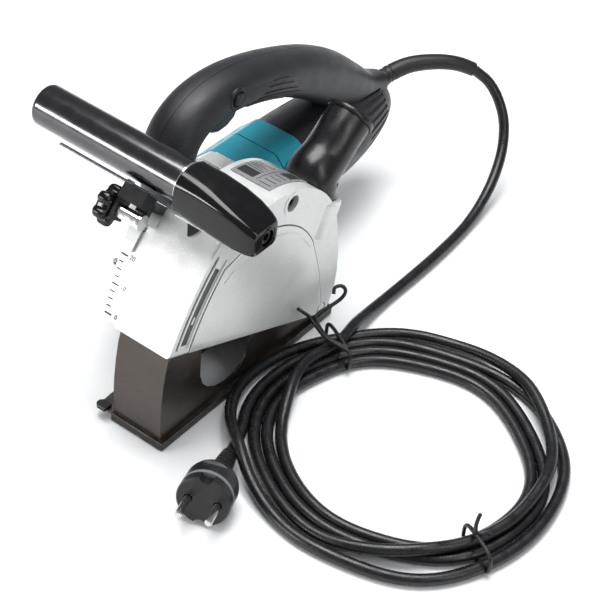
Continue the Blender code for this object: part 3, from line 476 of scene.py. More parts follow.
def area_light(name, at, aim, size, energy, colour=(1.0, 1.0, 1.0), size_y=None):
    light = bpy.data.lights.new(name, "AREA")
    light.shape = "RECTANGLE"
    light.size = size
    light.size_y = size_y or size
    light.energy = energy
    light.color = colour
    made = linked(name, light)
    made.location = at
    made.rotation_euler = (Vector(aim) - Vector(at)).to_track_quat("-Z", "Y").to_euler()


def studio():
    world = bpy.data.worlds.new("studio")
    world.use_nodes = True
    sky = world.node_tree.nodes["Background"]
    sky.inputs["Color"].default_value = (0.93, 0.95, 1.0, 1.0)
    sky.inputs["Strength"].default_value = 0.30
    bpy.context.scene.world = world
    bpy.context.scene.view_settings.view_transform = "Standard"
    area_light("overhead", (-0.2, 0.1, 1.7), (0.0, 0.0, 0.0), 1.1, 40.0)
    area_light("front_left", (-0.85, -1.45, 0.42), (0.0, 0.0, 0.10), 0.9, 16.0, (1.0, 0.99, 0.97), 0.2)
    area_light("strip", (1.2, -0.2, 1.0), (0.0, 0.0, 0.1), 0.25, 5.0, size_y=1.2)
    bm = bmesh.new()
    bmesh.ops.create_grid(bm, x_segments=1, y_segments=1, size=3000.0)
    floor = finish(bm, "floor", smooth=False)
    floor.location.z = -0.0003
    pale = bpy.data.materials.new("pale_floor")
    pale.use_nodes = True
    shader = pale.node_tree.nodes["Principled BSDF"]
    shader.inputs["Base Color"].default_value = (0.86, 0.865, 0.87, 1.0)
    shader.inputs["Roughness"].default_value = 0.6
    floor.data.materials.append(pale)


# -------------------------------- the cord

CORD_ROUTE = ((-17.0, 311.5, 78.5), (-5.9, 317.8, 69.1), (5.0, 318.3, 57.3), (15.5, 312.8, 44.3),
              (24.5, 300.0, 30.5), (31.5, 281.0, 18.5), (36.5, 258.0, 9.5), (40.0, 232.0, 4.6),
              (42.5, 200.0, 4.3), (43.5, 165.0, 4.3), (43.5, 130.0, 4.3), (44.5, 104.0, 6.5), (47.0, 82.0, 10.5))
# The coil's turns, as (degrees round, radius, height): the cord starts on top at the first tie, drops inside and
# works outwards; its third turn climbs over the fourth, and the fourth hangs loose over the plug's lead.
TURNS = ((152, 97.5, 11.8), (170, 92, 12.6), (188, 84, 11.0), (203, 79, 6.5), (220, 78, 4.2), (250, 79, 4.2),
         (285, 83, 4.2), (320, 86.5, 4.2), (355, 86, 4.2), (390, 84, 4.2), (443, 84, 4.2), (487, 82, 4.2),
         (512, 84, 4.2), (550, 86.5, 4.2), (580, 87, 4.2), (630, 88.5, 4.2), (680, 95, 4.2), (715, 94.5, 4.2),
         (750, 92.5, 4.2), (803, 92.5, 4.2), (847, 91, 4.2), (872, 92.2, 4.2), (910, 95.5, 4.2), (940, 96, 4.2),
         (985, 97, 5.0), (1022, 93.5, 11.0), (1045, 90.5, 11.8), (1075, 90, 11.8), (1110, 96, 12.0),
         (1140, 102, 12.4), (1163, 108, 12.0), (1185, 111, 6.5), (1207, 111.5, 4.2), (1232, 108.6, 4.2),
         (1250, 112, 5.0), (1268, 114.5, 7.8), (1284, 113.8, 11.4), (1301, 109.8, 13.3), (1317, 106.2, 11.4),
         (1333, 105.0, 7.6), (1352, 106.5, 4.8), (1390, 111, 4.2), (1430, 104.5, 4.2),
         (1470, 106, 4.2), (1500, 104.5, 4.2), (1523, 102, 4.2), (1567, 101, 4.2), (1592, 100.4, 4.2),
         (1612, 101.8, 4.2), (1630, 103.4, 4.2))
TAIL = ((37.3, -20.0, 4.2), (43.3, -33.5, 4.4), (49.8, -46.0, 4.4), (55.0, -57.5, 4.9))
PLUG_NECK = Vector((60.2, -70.8, 8.5))
PLUG_FACE = Vector((79.0, -122.0, 18.6))
WIRE_R = 1.3


def coil_points():
    points = []
    for degrees, radius, z in map(Vector, TURNS):
        turn = math.radians(degrees)
        points.append(COIL + Vector((radius * math.cos(turn), radius * math.sin(turn), z)))
    return points


def loosen(line, step, rounds=160):
    """Lets the cord settle: turns push each other apart, sink to the floor and keep their bends wide.

    The run from the guard to the first tie and the last bit before the plug stay as they were drawn.
    """
    first_free, last_held, ease = 70, 8, 12.0
    sink, share = 0.012, 0.42
    p = np.array([tuple(v) for v in evenly(line, step)])
    count = len(p)
    index = np.arange(count)
    near = np.abs(index[:, None] - index[None, :]) * step < 3.2 * CORD_R
    least = 2 * CORD_R + 0.25
    hold = np.clip(np.minimum(index - first_free, count - last_held - index) / ease, 0.0, 1.0)[:, None]
    for _ in range(rounds):
        moved = p.copy()
        bend = 0.5 * (p[:-2] + p[2:]) - p[1:-1]
        bend[1:-1] -= 0.5 * (bend[:-2] + bend[2:])
        moved[1:-1] += 0.5 * bend
        moved[:, 2] -= sink
        between = moved[:, None, :] - moved[None, :, :]
        apart = np.linalg.norm(between, axis=2)
        push = np.where(near | (apart > least), 0.0, (least - apart) / np.maximum(apart, 1e-6))
        count_near = np.maximum((push > 0).sum(axis=1), 1)[:, None]
        moved += share * (between * push[:, :, None]).sum(axis=1) / count_near ** 0.5
        moved[:, 2] = np.maximum(moved[:, 2], CORD_R + 0.1)
        p += hold * (moved - p)
    return [Vector(v) for v in p]


def curve_of(name, line, radius, resolution=3):
    curve = bpy.data.curves.new(name, "CURVE")
    curve.dimensions = "3D"
    curve.bevel_depth = radius * MM
    curve.bevel_resolution = resolution
    curve.use_fill_caps = True
    spline = curve.splines.new("POLY")
    spline.points.add(len(line) - 1)
    for point, where in zip(spline.points, line):
        point.co = (*row(where), 1.0)
    spline.use_smooth = True
    return linked(name, curve)


def cord():
    toward = (Vector(CORD_ROUTE[1]) - Vector(CORD_ROUTE[0])).normalized()
    route = [Vector(CORD_ROUTE[0]) + toward * 0.5, *CORD_ROUTE[1:]]
    into_plug = PLUG_NECK + (PLUG_FACE - PLUG_NECK).normalized() * 0.5
    line = loosen(smooth([*route, *coil_points(), *TAIL, into_plug], 8), 5.0)
    made = curve_of("mains_cord", line, CORD_R)
    dress(made, "rubber", replaced=("cord", "cord_coil"))
    length = sum((b - a).length for a, b in zip(line, line[1:])) * MM
    return made, line, length


# -------------------------------- the plug and the ties

def turned(name, profile):
    """A piece of the plug, turned about its axis."""
    return finish(lathe(profile, PLUG_NECK, PLUG_FACE - PLUG_NECK, 48), name)


def plug():
    along = (PLUG_FACE - PLUG_NECK).normalized()
    length = (PLUG_FACE - PLUG_NECK).length
    profile = [(0, 0), (4.9, 0), (5.3, 1.0)]
    for i in range(5):
        start = 1.6 + i * 4.2
        radius = 5.4 + 0.42 * i
        profile += [(radius, start), (radius, start + 2.4)]
        profile += [(radius - 1.0, start + 2.9), (radius - 1.0, start + 3.8)]
    profile += [(7.6, 23.0), (9.8, 26.4), (13.6, 29.2), (15.6, 31.4), (16.6, 34.0), (17.2, 36.4)]
    profile += [(17.2, length - 9.0), (0, length - 9.0)]
    body = turned("plug_body", profile)
    flat = along.cross(Vector((0, 0, 1))).normalized()
    over = flat.cross(along)
    for sign in (-1, 1):
        side = PLUG_NECK + along * 38.0 + over * sign * 20.5
        cut(body, rod(side - flat * 20, flat, 5.6, 40, 40))
    settle(body)
    dress(body, "plug_rubber", replaced=("plug",))
    joint = length - 6.8
    middle = turned("plug_band", [(12.0, joint - 2.6), (17.5, joint - 2.6), (17.5, joint), (12.0, joint)])
    dress(middle, "band_grey")
    face = turned("plug_face", [(0, joint), (16.9, joint), (17.5, joint + 0.6), (17.5, length - 1.0),
                                (16.6, length), (0, length)])
    for sign in (-1, 1):
        notch, earth, pin = (PLUG_FACE + spot * sign for spot in (over * 18.2, over * 11.2, flat * 9.5))
        cut(face, rod(notch - along * 12, along, 4.6, 30, 32),
            box_at(earth - along * 4.0, (flat, over, along), (4.0, 1.3, 8.0)),
            rod(pin - along * 12, along, 2.9, 30, 24))
    settle(face)
    soften(face, 0.35)
    dress(face, "plug_rubber")
    pins = ("plug_pin_left", "plug_pin_right")
    for name in pins:
        paint(name, "nickel")
    return [body, middle, face, *(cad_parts[name] for name in pins)]


def ties(line):
    """Two coated wire ties pulled round the turns, each twisted shut, with its ends left standing."""
    ends = {"tie_front": (((47.0, 47.5, 21.0), (38.0, 47.2, 26.5), (31.5, 48.0, 30.0), (29.0, 43.5, 35.5),
                           (28.2, 38.5, 41.0), (29.8, 35.5, 44.0)),
                          ((47.0, 49.5, 20.0), (36.0, 50.0, 28.0), (34.5, 54.0, 31.5), (38.5, 61.5, 35.5),
                           (41.8, 68.4, 40.0), (42.7, 71.0, 45.5), (39.8, 69.6, 49.0), (37.0, 66.0, 48.0),
                           (38.2, 63.5, 44.6))),
            "tie_rear": (((218.5, -30.5, 19.5), (217.0, -28.6, 22.5), (216.4, -26.8, 26.5),
                          (216.9, -26.0, 31.5)),
                         ((220.5, -29.0, 19.0), (223.0, -25.6, 19.6), (226.0, -24.4, 18.8)))}
    made = []
    for name, degrees in (("tie_front", 152.0), ("tie_rear", -27.0)):
        out = Vector((math.cos(math.radians(degrees)), math.sin(math.radians(degrees)), 0))
        inside, outside = crossing_of(line, degrees)
        reach = (outside - inside) / 2 + CORD_R + 1.5
        middle = COIL + out * (inside + outside) / 2
        loop = []
        for i in range(49):
            turn = math.radians(120 - 360 * i / 48)
            c, s = math.cos(turn), math.sin(turn)
            height = max(9.6 + 8.6 * bulge(s, 0.55), WIRE_R)
            loop.append(middle + out * reach * bulge(c, 0.55) + Vector((0, 0, height)))
        for number, tip in enumerate(ends[name]):
            turns = loop[:-1] if number == 0 else [loop[1]]
            path = evenly(smooth([*turns, *tip], 4), 1.5)
            wire = curve_of(f"wire_{name}_{number + 1}", path, WIRE_R, 2)
            dress(wire, "plug_rubber", replaced=(name,) if number == 0 else ())
            made.append(wire)
    return made


def crossing_of(line, degrees):
    """The smallest and largest radius at which the coil's turns cross a direction from its middle."""
    radii = []
    for a, b in zip(line, line[1:]):
        first, second = (math.degrees(math.atan2(p.y - COIL.y, p.x - COIL.x)) for p in (a, b))
        radius = ((a + b) / 2 - COIL).to_2d().length
        turned = (first - degrees + 180) % 360 - 180
        after = (second - degrees + 180) % 360 - 180
        if radius < COIL_R and turned * after <= 0 and abs(turned) < 90:
            radii.append(radius)
    return min(radii), max(radii)


# -------------------------------- the wheel cover

def bottom_line(y):
    return 79.5 + (y + 92.0) * math.tan(math.radians(COVER_SLOPE))


def cover_outline():
    rear = [(80.0, 7.6), (83.8, 10.0), (86.6, 15.0), (88.6, 26.0), (89.2, 42.0), (87.6, 58.0), (84.8, 72.0)]
    top = arc(82.0, 162.0, 90.0, 28, AXLE)
    crown = [(-13.0, 149.8), (-28.0, 150.4), (-40.0, 149.2), (-44.4, 147.8), (-47.5, 146.0)]
    return rear + top + crown + arc(SCALE_R, 43.0, 21.0, 22)


def offset(outline, distance):
    moved = []
    count = len(outline)
    for i, here in enumerate(outline):
        point = Vector(here)
        first = (point - Vector(outline[i - 1])).normalized()
        second = (Vector(outline[(i + 1) % count]) - point).normalized()
        inward_a = Vector((-first.y, first.x))
        inward_b = Vector((-second.y, second.x))
        middle = (inward_a + inward_b).normalized()
        moved.append(tuple(point + middle * distance / max(middle.dot(inward_a), 0.4)))
    return moved


def plate_outline(shrink=0.0):
    centre = Vector((0.0, -16.6, 49.5))
    top = arc(80.2 - shrink, 96.0, 152.0, 26, centre)
    rear = [(62.5 - shrink, 66.0), (68.0 - shrink, 50.0), (72.5 - shrink, 30.0), (74.0 - shrink, 22.0)]
    low_rear = (72.5 - shrink, bottom_line(72.5) + 0.4 + shrink)
    front = arc(160.0 - shrink, 21.5, 42.0, 20)
    low_front = (front[0][0], bottom_line(front[0][0]) + 0.4 + shrink)
    return [low_front] + front[1:] + top + rear + [low_rear]


def duct_axis():
    return Vector((0.0, 69.5, 97.0)), Vector((0.0, 0.40, 0.917)).normalized()


def flange_edge(degrees):
    """The x of the scale flange's free edge, which runs askew."""
    return -31.5 - 7.5 * (degrees - FLANGE_START) / FLANGE_REACH


def cover():
    half = COVER_HALF
    inner = half - COVER_WALL
    shell = finish(prism(cover_outline(), "x", -half, half, 2.4, 4), "cover_shell")
    sections = []
    for i in range(19):
        degrees = FLANGE_START + FLANGE_REACH * i / 18
        right = flange_edge(degrees)
        high, low = polar(SCALE_R, degrees), polar(SCALE_R - 2.8, degrees)
        sections.append([(right, *high), (-half + 3.0, *high), (-half + 3.0, *low), (right, *low)])
    join(shell, loft(sections))
    hollow = offset(cover_outline(), COVER_WALL)
    hollow = [(y, z - 12.0) if z < bottom_line(y) + 4.0 else (y, z) for y, z in hollow]
    cut(shell, prism(hollow, "x", -inner, inner))
    base, up = duct_axis()
    collar = [(0, -14), (24.6, -14), (24.6, 9.6), (23.4, 11.2), (23.2, 11.6), (0, 11.6)]
    join(shell, lathe(collar, base, up, 64))
    cut(shell, rod((3.0 - half, AXLE.y, AXLE.z), (1, 0, 0), WHEEL_D / 2 + 4, 2 * half - 6, 96))
    cut(shell, rod(base + up * 11.2, up, 21.0, 30.0, 64))
    cut(shell, rod(base - up * 25, up, 13.6, 50.0, 48))
    cut(shell, prism(plate_outline(), "x", inner - 0.5, half + 2))
    cut(shell, band(SLOT_IN, SLOT_OUT, SLOT_START, SLOT_END, 22, inner - 1, half + 2))
    cut(shell, rod((-half - 1, AXLE.y, AXLE.z), (1, 0, 0), 18.0, 4, 64))
    cut(shell, rod((-half - 1, PIVOT.y, PIVOT.z), (1, 0, 0), 4.3, 2 * half + 2, 32))
    join(shell, rod((6, *BOSS_AT), (1, 0, 0), 8.4, half - 5.6, 40))
    cut(shell, rod((9, *BOSS_AT), (1, 0, 0), 5.9, 20, 32))
    for low, high in ((172.9, 174.6), (162.2, 163.9)):
        join(shell, band(low, high, 22.6, 44.0, 24, half - 0.5, half + 0.9))
    settle(shell)
    soften(shell, 0.45)
    dress(shell, "silver_paint", replaced=("wheel_cover",))


def side_plate():
    half = COVER_HALF
    # A dark sheet under the plate, seen in the gap round it, is painted shade.
    dress(finish(prism(plate_outline(0.1), "x", half - 1.9, half - 0.35), "plate_gap_shade"), "nozzle_plastic")
    plate = finish(prism(plate_outline(0.95), "x", half - 0.3, half + 0.5, 0.3, 2), "side_plate_skin")
    centre = Vector((0.0, -8.0, 52.0))
    rim = arc(68.0, 60.0, 150.0, 40, centre) + arc(66.4, 150.0, 60.0, 40, centre)
    join(plate, prism(rim, "x", half, half + 1.1, 0.35, 2))
    cut(plate, rod((0, PIVOT.y, PIVOT.z), (1, 0, 0), 6.0, 40, 40))
    settle(plate)
    dress(plate, "silver_paint", replaced=("side_plate",))


# -------------------------------- CAD nodes that keep their shape

def paint(name, finish_name, width=0.0):
    """A CAD node keeps its shape and takes a finish, with its edges softened."""
    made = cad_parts[name]
    set_finish(made, finish_name)
    if width:
        soften(made, width)


# The finish and the width of the softened edges, in millimetres, for each group of nodes.
KEPT = {
    ("steel", 0.0): ("return_spring", "bevel_gear", "bevel_pinion"),
    ("steel", 0.2): ("pivot_pin", "grip_stay"),
    ("steel", 0.3): ("grip_core", "spindle", "spindle_bearing", "needle_bearing", "inner_flange", "spacer_ring",
                     "armature_shaft", "field_stator", "front_motor_bearing", "rear_motor_bearing"),
    ("bright_steel", 0.3): ("clamp_bolt",),
    ("base_steel", 0.3): ("base_shoe",),
    ("black_steel", 0.25): ("side_plate_screw", "grip_bolt"),
    ("black_steel", 0.3): ("lock_nut",),
    ("black_steel", 0.5): ("sole_plate", "base_tab"),
    ("cast_aluminium", 0.3): ("depth_pointer", "grip_plate"),
    ("cast_aluminium", 0.8): ("gear_housing",),
    ("black_plastic", 0.2): ("cooling_fan", "fan_baffle"),
    ("black_plastic", 0.3): ("sight_pointer", "shaft_lock_button", "lock_on_button"),
    ("black_plastic", 0.4): ("switch_body",),
    ("black_plastic", 0.5): ("stop_block",),
    ("black_plastic", 0.9): ("trigger",),
    ("copper", 0.3): ("commutator",),
    ("copper", 0.4): ("armature_core",),
    ("brass", 0.2): ("brush_holder_left", "brush_holder_right"),
    ("carbon", 0.2): ("carbon_brush_left", "carbon_brush_right"),
    ("label", 0.1): ("label_plate",),
}


# -------------------------------- the handle and the motor's rear housing

HANDLE_LINE = ((6.0, 102.9, 16.5, 16.0), (1.0, 121.0, 16.2, 16.5), (0.0, 138.0, 16.0, 17.0),
               (4.0, 152.5, 15.8, 17.5), (15.0, 162.8, 15.3, 17.5), (32.0, 168.2, 14.9, 17.5),
               (55.0, 168.0, 14.9, 17.5), (82.0, 162.3, 15.2, 17.5), (112.0, 152.0, 16.2, 17.5),
               (142.0, 137.8, 18.2, 17.5), (170.0, 120.5, 19.3, 17.0), (196.0, 101.5, 17.8, 15.5),
               (220.0, 86.0, 14.5, 13.0), (243.0, 78.5, 10.5, 10.5))
TAIL_PROFILE = ((34.5, TEAL_END + 0.3), (34.0, 148.0), (32.6, 174.0), (30.2, 196.0), (26.5, 214.0),
                (21.5, 231.0), (16.5, 242.0), (12.0, 248.0))
BUTTON_AT = (47.0, 171.0)


def handle_spot(station, along, turn, grow=0.0):
    """A point of the handle's skin: turn 0 is its left side and 90 degrees its back."""
    y, z, high, wide = station
    across = Vector((-along.y, along.x))
    c, s = math.cos(turn), math.sin(turn)
    lift = (high + grow) * bulge(s, 0.85)
    return Vector((MOTOR_X + (wide + grow) * bulge(c, 0.85), y + across.x * lift, z + across.y * lift))


def handle_stations(per_span):
    stations = smooth([Vector(s) for s in HANDLE_LINE], per_span)
    found = []
    for i, station in enumerate(stations):
        before, after = stations[max(i - 1, 0)], stations[min(i + 1, len(stations) - 1)]
        along = Vector((after[0] - before[0], after[1] - before[1])).normalized()
        found.append((station, Vector((0.0, 1.0)) if i == 0 else along))
    return found


def handle_loop(thinner, per_span, sides):
    stations = handle_stations(per_span)
    if thinner:
        stations = stations[1:-2 * per_span + 1]
        low = stations[0][0].copy()
        low[1] -= 6.0
        stations = [(low, Vector((0.0, 1.0))), *stations]
    return loft([[handle_spot(station, along, math.tau * (k + 0.5) / sides, -thinner) for k in range(sides)]
                 for station, along in stations])


def tail(thinner, per_span, sides):
    profile = [tuple(p) for p in smooth([Vector(p) for p in TAIL_PROFILE], per_span)]
    if thinner:
        profile = [(34.5, TEAL_END - 3.0), *TAIL_PROFILE[1:-2], (17.8, 239.0)]
    sections = []
    for radius, y in profile:
        turns = (math.tau * (k + 0.5) / sides for k in range(sides))
        reach = radius - thinner
        sections.append([(MOTOR_X + reach * math.cos(t), y, MOTOR_Z + reach * math.sin(t)) for t in turns])
    return loft(sections)


def tail_grooves(side):
    """The air slots round the tail, which run along it."""
    runs = [(degrees, (30.3, 199.0), (21.9, 231.5), 1.25) for degrees in range(-60, 61, 12)]
    runs += [(degrees, (33.9, 152.0), (31.9, 188.0), 1.2) for degrees in (28, 40, 52)]
    grooves = []
    for degrees, *ends, width in runs:
        turn = math.radians(degrees)
        start, end = (Vector((MOTOR_X + side * radius * math.cos(turn), y, MOTOR_Z + radius * math.sin(turn)))
                      for radius, y in ends)
        grooves.append(rod(start, end - start, width, (end - start).length, 12))
    return grooves


def handle():
    for side, name in ((1, "left"), (-1, "right")):
        half = finish(handle_loop(0.0, 4, 40), "handle_shell_" + name)
        join(half, tail(0.0, 4, 56))
        cut(half, handle_loop(3.2, 1, 16), tail(3.2, 1, 24))
        limits = sorted((MOTOR_X + side * 0.15, MOTOR_X + side * 90.0))
        boolean(half, box((limits[0], -60, 20), (limits[1], 300, 220)), "INTERSECT")
        cut(half, box((MOTOR_X - 6.3, 28.0, 130.0), (MOTOR_X + 6.3, 70.0, 164.0)))
        cut(half, rod((MOTOR_X, 240.0, 78.0), (0, 1, 0), 7.4, 30.0, 32))
        cut(half, *tail_grooves(side))
        if side > 0:
            cut(half, rod((MOTOR_X + 5, *BUTTON_AT), (1, 0, 0), 4.9, 30, 32))
            cut(half, rod((MOTOR_X + 16.2, *BUTTON_AT), (1, 0, 0), 8.2, 30, 40))
        settle(half, 30.0)
        soften(half, 0.35, 34.0)
        dress(half, "handle_plastic", replaced=("handle_" + name,))
        grip_ribs(side, name)


def grip_ribs(side, name):
    """The patch of fine ribs under the palm, and the line round it."""
    stations = handle_stations(14)
    inside = [s for s in stations if 64.0 < s[0][0] < 124.0 and s[0][1] > 140.0]
    bm = bmesh.new()
    for row_number, degrees in enumerate((-46, -34, -22, -10, 2, 14)):
        chosen = inside[2 * row_number:len(inside) - 3 * abs(row_number - 2)]
        line = []
        for station, along in chosen:
            here = handle_spot(station, along, math.radians(degrees), 0.05)
            line.append(Vector((2 * MOTOR_X - here.x if side < 0 else here.x, here.y, here.z)))
        gather(bm, tube(line, [0.25] + [0.75] * (len(line) - 2) + [0.25], 8))
    dress(finish(bm, "grip_ribs_" + name), "black_plastic")


def button_ring():
    x = MOTOR_X + 15.4
    ring_profile = [(5.2, 0.0), (8.0, 0.0), (8.0, 1.6), (7.2, 2.3), (5.8, 2.3), (5.2, 1.6)]
    dress(finish(lathe(ring_profile, (x, *BUTTON_AT), (1, 0, 0), 48), "button_ring"), "black_plastic")


def handle_screws():
    """The screws that close the handle's halves, sunk in their bosses on the left side."""
    for i, (y, z, depth) in enumerate(((1.0, 127.0, 15.2), (176.0, 88.0, 23.4), (140.0, 70.0, 33.0))):
        at = Vector((MOTOR_X + depth, y, z))
        screw(f"handle_screw_{i + 1}", at, (1, 0, 0), 3.1, 1.9, "black_steel")


def screw(name, at, direction, radius, height, finish_name, body="tool_body", socket=True):
    """A low screw head with a cross or a hexagon socket."""
    c = radius * 0.22
    profile = [(0, -1.5), (radius * 0.6, -1.5), (radius * 0.6, 0), (radius, 0), (radius, height - c),
               (radius - c, height), (0, height)]
    made = finish(lathe(profile, at, direction, 32), name)
    along = Vector(direction).normalized()
    side, up = frame_of(along)
    if socket:
        cut(made, rod(at + along * (height - 1.1), along, radius * 0.5, 4.0, 6))
    else:
        for a, b in ((side, up), (up, side)):
            cut(made, box_at(at + along * height, (a, b, along), (radius * 0.62, radius * 0.13, 1.0)))
    settle(made)
    dress(made, finish_name, body)


# -------------------------------- the motor housing

def motor_ring(outline, scale, start, end, round_edge, steps, name):
    """A hollow length of the housing."""
    points = [(MOTOR_X + scale * p.x, MOTOR_Z + scale * p.y) for p in outline]
    made = finish(prism(points, "y", start, end, round_edge, steps), name)
    cut(made, rod((MOTOR_X, 50.0, MOTOR_Z), (0, 1, 0), 30.6, 90.0, 64))
    return made


def motor_housing():
    """The teal middle: flat facets with rounded corners, a parting line and vent slots."""
    flat, slope = 34.7, 36.6
    low = slope * math.sqrt(2) - flat
    corners = []
    for quarter in range(4):
        c, s = math.cos(math.pi / 2 * quarter), math.sin(math.pi / 2 * quarter)
        for a, b in ((flat, low), (low, flat)):
            corners.append(Vector((a * c - b * s, a * s + b * c)))
    outline = []
    for i, here in enumerate(corners):
        before, after = corners[i - 1], corners[(i + 1) % 8]
        start = here + (before - here).normalized() * 3.0
        end = here + (after - here).normalized() * 3.0
        for k in range(5):
            t = k / 4
            outline.append((1 - t) ** 2 * start + 2 * t * (1 - t) * here + t * t * end)
    shell = motor_ring(outline, 1.0, TEAL_START + 9.0, TEAL_END, 0.8, 2, "motor_shell")
    collar = motor_ring(outline, 0.985, TEAL_START - 4.0, TEAL_START + 8.8, 1.6, 3, "motor_collar")
    dress(collar, "silver_paint")
    crease = Vector((MOTOR_X + low + 0.4, TEAL_START - 2, MOTOR_Z + flat - 0.2))
    for start in (crease, crease - Vector((2 * low + 0.8, 0, 0))):
        cut(shell, rod(start, (0, 1, 0), 0.7, 80.0, 12))
    line = [(34.0, 96.0), (38.5, 96.0), (38.5, 97.0), (34.0, 97.0)]
    cut(shell, lathe(line, (MOTOR_X, 0, MOTOR_Z), (0, 1, 0), 64))
    for side in (-1, 1):
        for y in (76.0, 86.0, 103.0):
            at = Vector((MOTOR_X + side * 25.9, y + 4.0, MOTOR_Z + 25.9))
            normal = Vector((side, 0, 1)).normalized()
            across = Vector((side, 0, -1)).normalized()
            cut(shell, box_at(at, (Vector((0, 1, 0)), across, normal), (4.2, 1.3, 2.4)))
    settle(shell)
    soften(shell, 0.35)
    dress(shell, "teal_plastic", replaced=("motor_housing",))


# -------------------------------- the dust nozzle

def nozzle():
    base, up = duct_axis()
    foot = base + up * 11.5
    line = [foot + up * 0.1, foot + up * 1.6, foot + up * 3.2]
    line += smooth([foot + up * 5.0, foot + up * 12.0, Vector((0, 91.0, 125.6)), Vector((0, 104.5, 136.8)),
                    Vector((0, 117.0, 145.5))], 7)
    keys = ((0.0, 20.4), (1.5, 20.4), (2.6, 19.8), (3.2, 19.0), (9.0, 18.4), (16.0, 17.3), (24.0, 16.5),
            (34.0, 16.0), (60.0, 15.8))
    gone, radii = 0.0, []
    for i, here in enumerate(line):
        gone += (here - line[i - 1]).length if i else 0.0
        radii.append(float(np.interp(gone, *zip(*keys))))
    side = Vector((1, 0, 0))
    outer, inner = [], []
    for i, here in enumerate(line):
        over = (line[min(i + 1, len(line) - 1)] - line[max(i - 1, 0)]).normalized().cross(side)
        for radius, loops in ((radii[i], outer), (13.2, inner)):
            turns = (math.tau * k / 56 for k in range(56))
            loops.append([here + radius * (math.cos(t) * side + math.sin(t) * over) for t in turns])
    elbow = finish(loft(outer + inner[::-1], closed=True), "dust_elbow", 50.0)
    dress(elbow, "nozzle_plastic", replaced=("dust_nozzle",))
    along = (line[-1] - line[-2]).normalized()
    profile = [(15.9, 0.4), (16.4, 0.0), (16.7, 0.0), (17.0, 0.4), (17.0, 3.1), (16.7, 3.5), (16.2, 3.5),
               (15.9, 3.2)]
    rim = finish(lathe(profile, line[-1] - along * 3.2, along, 64), "dust_elbow_rim", 50.0)
    dress(rim, "nozzle_plastic", replaced=("nozzle_ring",))


# -------------------------------- the front grip and the stop's knob

def grip_arm():
    """The tapered arm, with flat faces, rounded edges and a ring round its bolt."""
    stations = ((-9.2, 14.9, 154.4, 183.4), (-8.9, 15.5, 153.5, 184.3), (-8.2, 15.8, 152.9, 184.8),
                (8.0, 15.6, 152.8, 183.8), (24.0, 15.2, 152.8, 180.8), (36.0, 14.4, 152.8, 177.4),
                (45.0, 13.4, 152.8, 173.8), (49.2, 12.2, 153.2, 172.0), (50.5, 11.2, 154.0, 171.0),
                (51.0, 9.9, 155.2, 169.8))
    sections = []
    for x, half, low, high in stations:
        corner = min(float(np.interp(x, (-9.0, 8.0, 24.0, 38.0), (11.5, 8.5, 6.0, 4.2))), half * 0.74)
        loop = []
        for a, b, start in ((1, 1, 0), (-1, 1, 90), (-1, -1, 180), (1, -1, 270)):
            centre_y = GRIP_Y - 1.2 + a * (half - corner)
            centre_z = (high - corner) if b > 0 else (low + corner)
            for k in range(6):
                turn = math.radians(start + 90 * k / 5)
                loop.append((x, centre_y + corner * math.cos(turn), centre_z + corner * math.sin(turn)))
        sections.append(loop)
    arm = finish(loft(sections), "grip_arm_skin", 24.0)
    cut(arm, rod((-11.5, GRIP_Y, GRIP_Z), (1, 0, 0), 6.4, 12.5, 32))
    cut(arm, rod((30.0, GRIP_Y, 162.5), (1, 0, 0), 5.6, 40, 40))
    cut(arm, lathe([(6.8, 0), (7.6, 0), (7.6, 3), (6.8, 3)], (50.4, GRIP_Y, 162.5), (1, 0, 0), 40))
    settle(arm, 24.0)
    soften(arm, 0.3, 50.0)
    dress(arm, "gloss_black", replaced=("grip_arm",))
    rim_profile = [(14.02, 0.0), (14.25, 0.2), (14.25, 1.2), (14.02, 1.4)]
    rim = finish(lathe(rim_profile, (-11.2, GRIP_Y, GRIP_Z), (1, 0, 0), 64), "grip_rim")
    dress(rim, "bright_steel")


def grip_tube():
    """The gloss tube on its core, with a rounded closed end."""
    far = 118.0
    profile = [(0, far), (9.0, far), (11.4, far - 0.4), (13.0, far - 1.3), (13.8, far - 2.6), (14.0, far - 4.0),
               (14.0, 0.8), (13.2, 0), (6.4, 0), (6.4, far - 5.0), (0, far - 5.0)]
    made = finish(lathe(profile, (-9.5, GRIP_Y, GRIP_Z), (-1, 0, 0), 96), "grip_tube_skin", 30.0)
    dress(made, "gloss_tube", replaced=("front_grip_tube",))


def knob():
    y, z = polar(STOP_R, STOP_DEG)
    sections = []
    for x, scale in ((-46.6, 0.70), (-47.0, 0.84), (-47.8, 0.95), (-48.8, 1.0), (-53.8, 1.0), (-55.2, 0.96),
                     (-56.2, 0.86), (-56.75, 0.70), (-56.8, 0.42), (-56.2, 0.36)):
        loop = []
        for i in range(120):
            turn = math.tau * i / 120
            radius = scale * (12.0 + 1.5 * math.tanh(2.2 * math.cos(6 * turn)))
            loop.append((x, y + radius * math.cos(turn), z + radius * math.sin(turn)))
        sections.append(loop)
    made = finish(loft(sections), "knob_skin", 60.0)
    cut(made, rod((-45.5, y, z), (-1, 0, 0), 3.3, 8.0, 24))
    settle(made, 50.0)
    dress(made, "gloss_black", "clamp_knob_body", ("clamp_knob",))


# -------------------------------- marks on the cover

def scale_marks():
    """Raised ticks every 2.5 mm of depth on the scale, and their numbers."""
    bm = bmesh.new()
    for k in range(13):
        degrees = ZERO_MARK + MARK_STEP * k
        reach, half = (5.2, 0.16) if k % 4 == 0 else (3.4, 0.12)
        start = flange_edge(degrees) + 0.7
        gather(bm, band(SCALE_R - 0.1, SCALE_R + 0.45, degrees - half, degrees + half, 2, start, start + reach))
    dress(finish(bm, "scale_ticks"), "dark_print")
    for k, number in enumerate(("0", "10", "20", "30")):
        scale_number(number, ZERO_MARK + 4 * MARK_STEP * k)


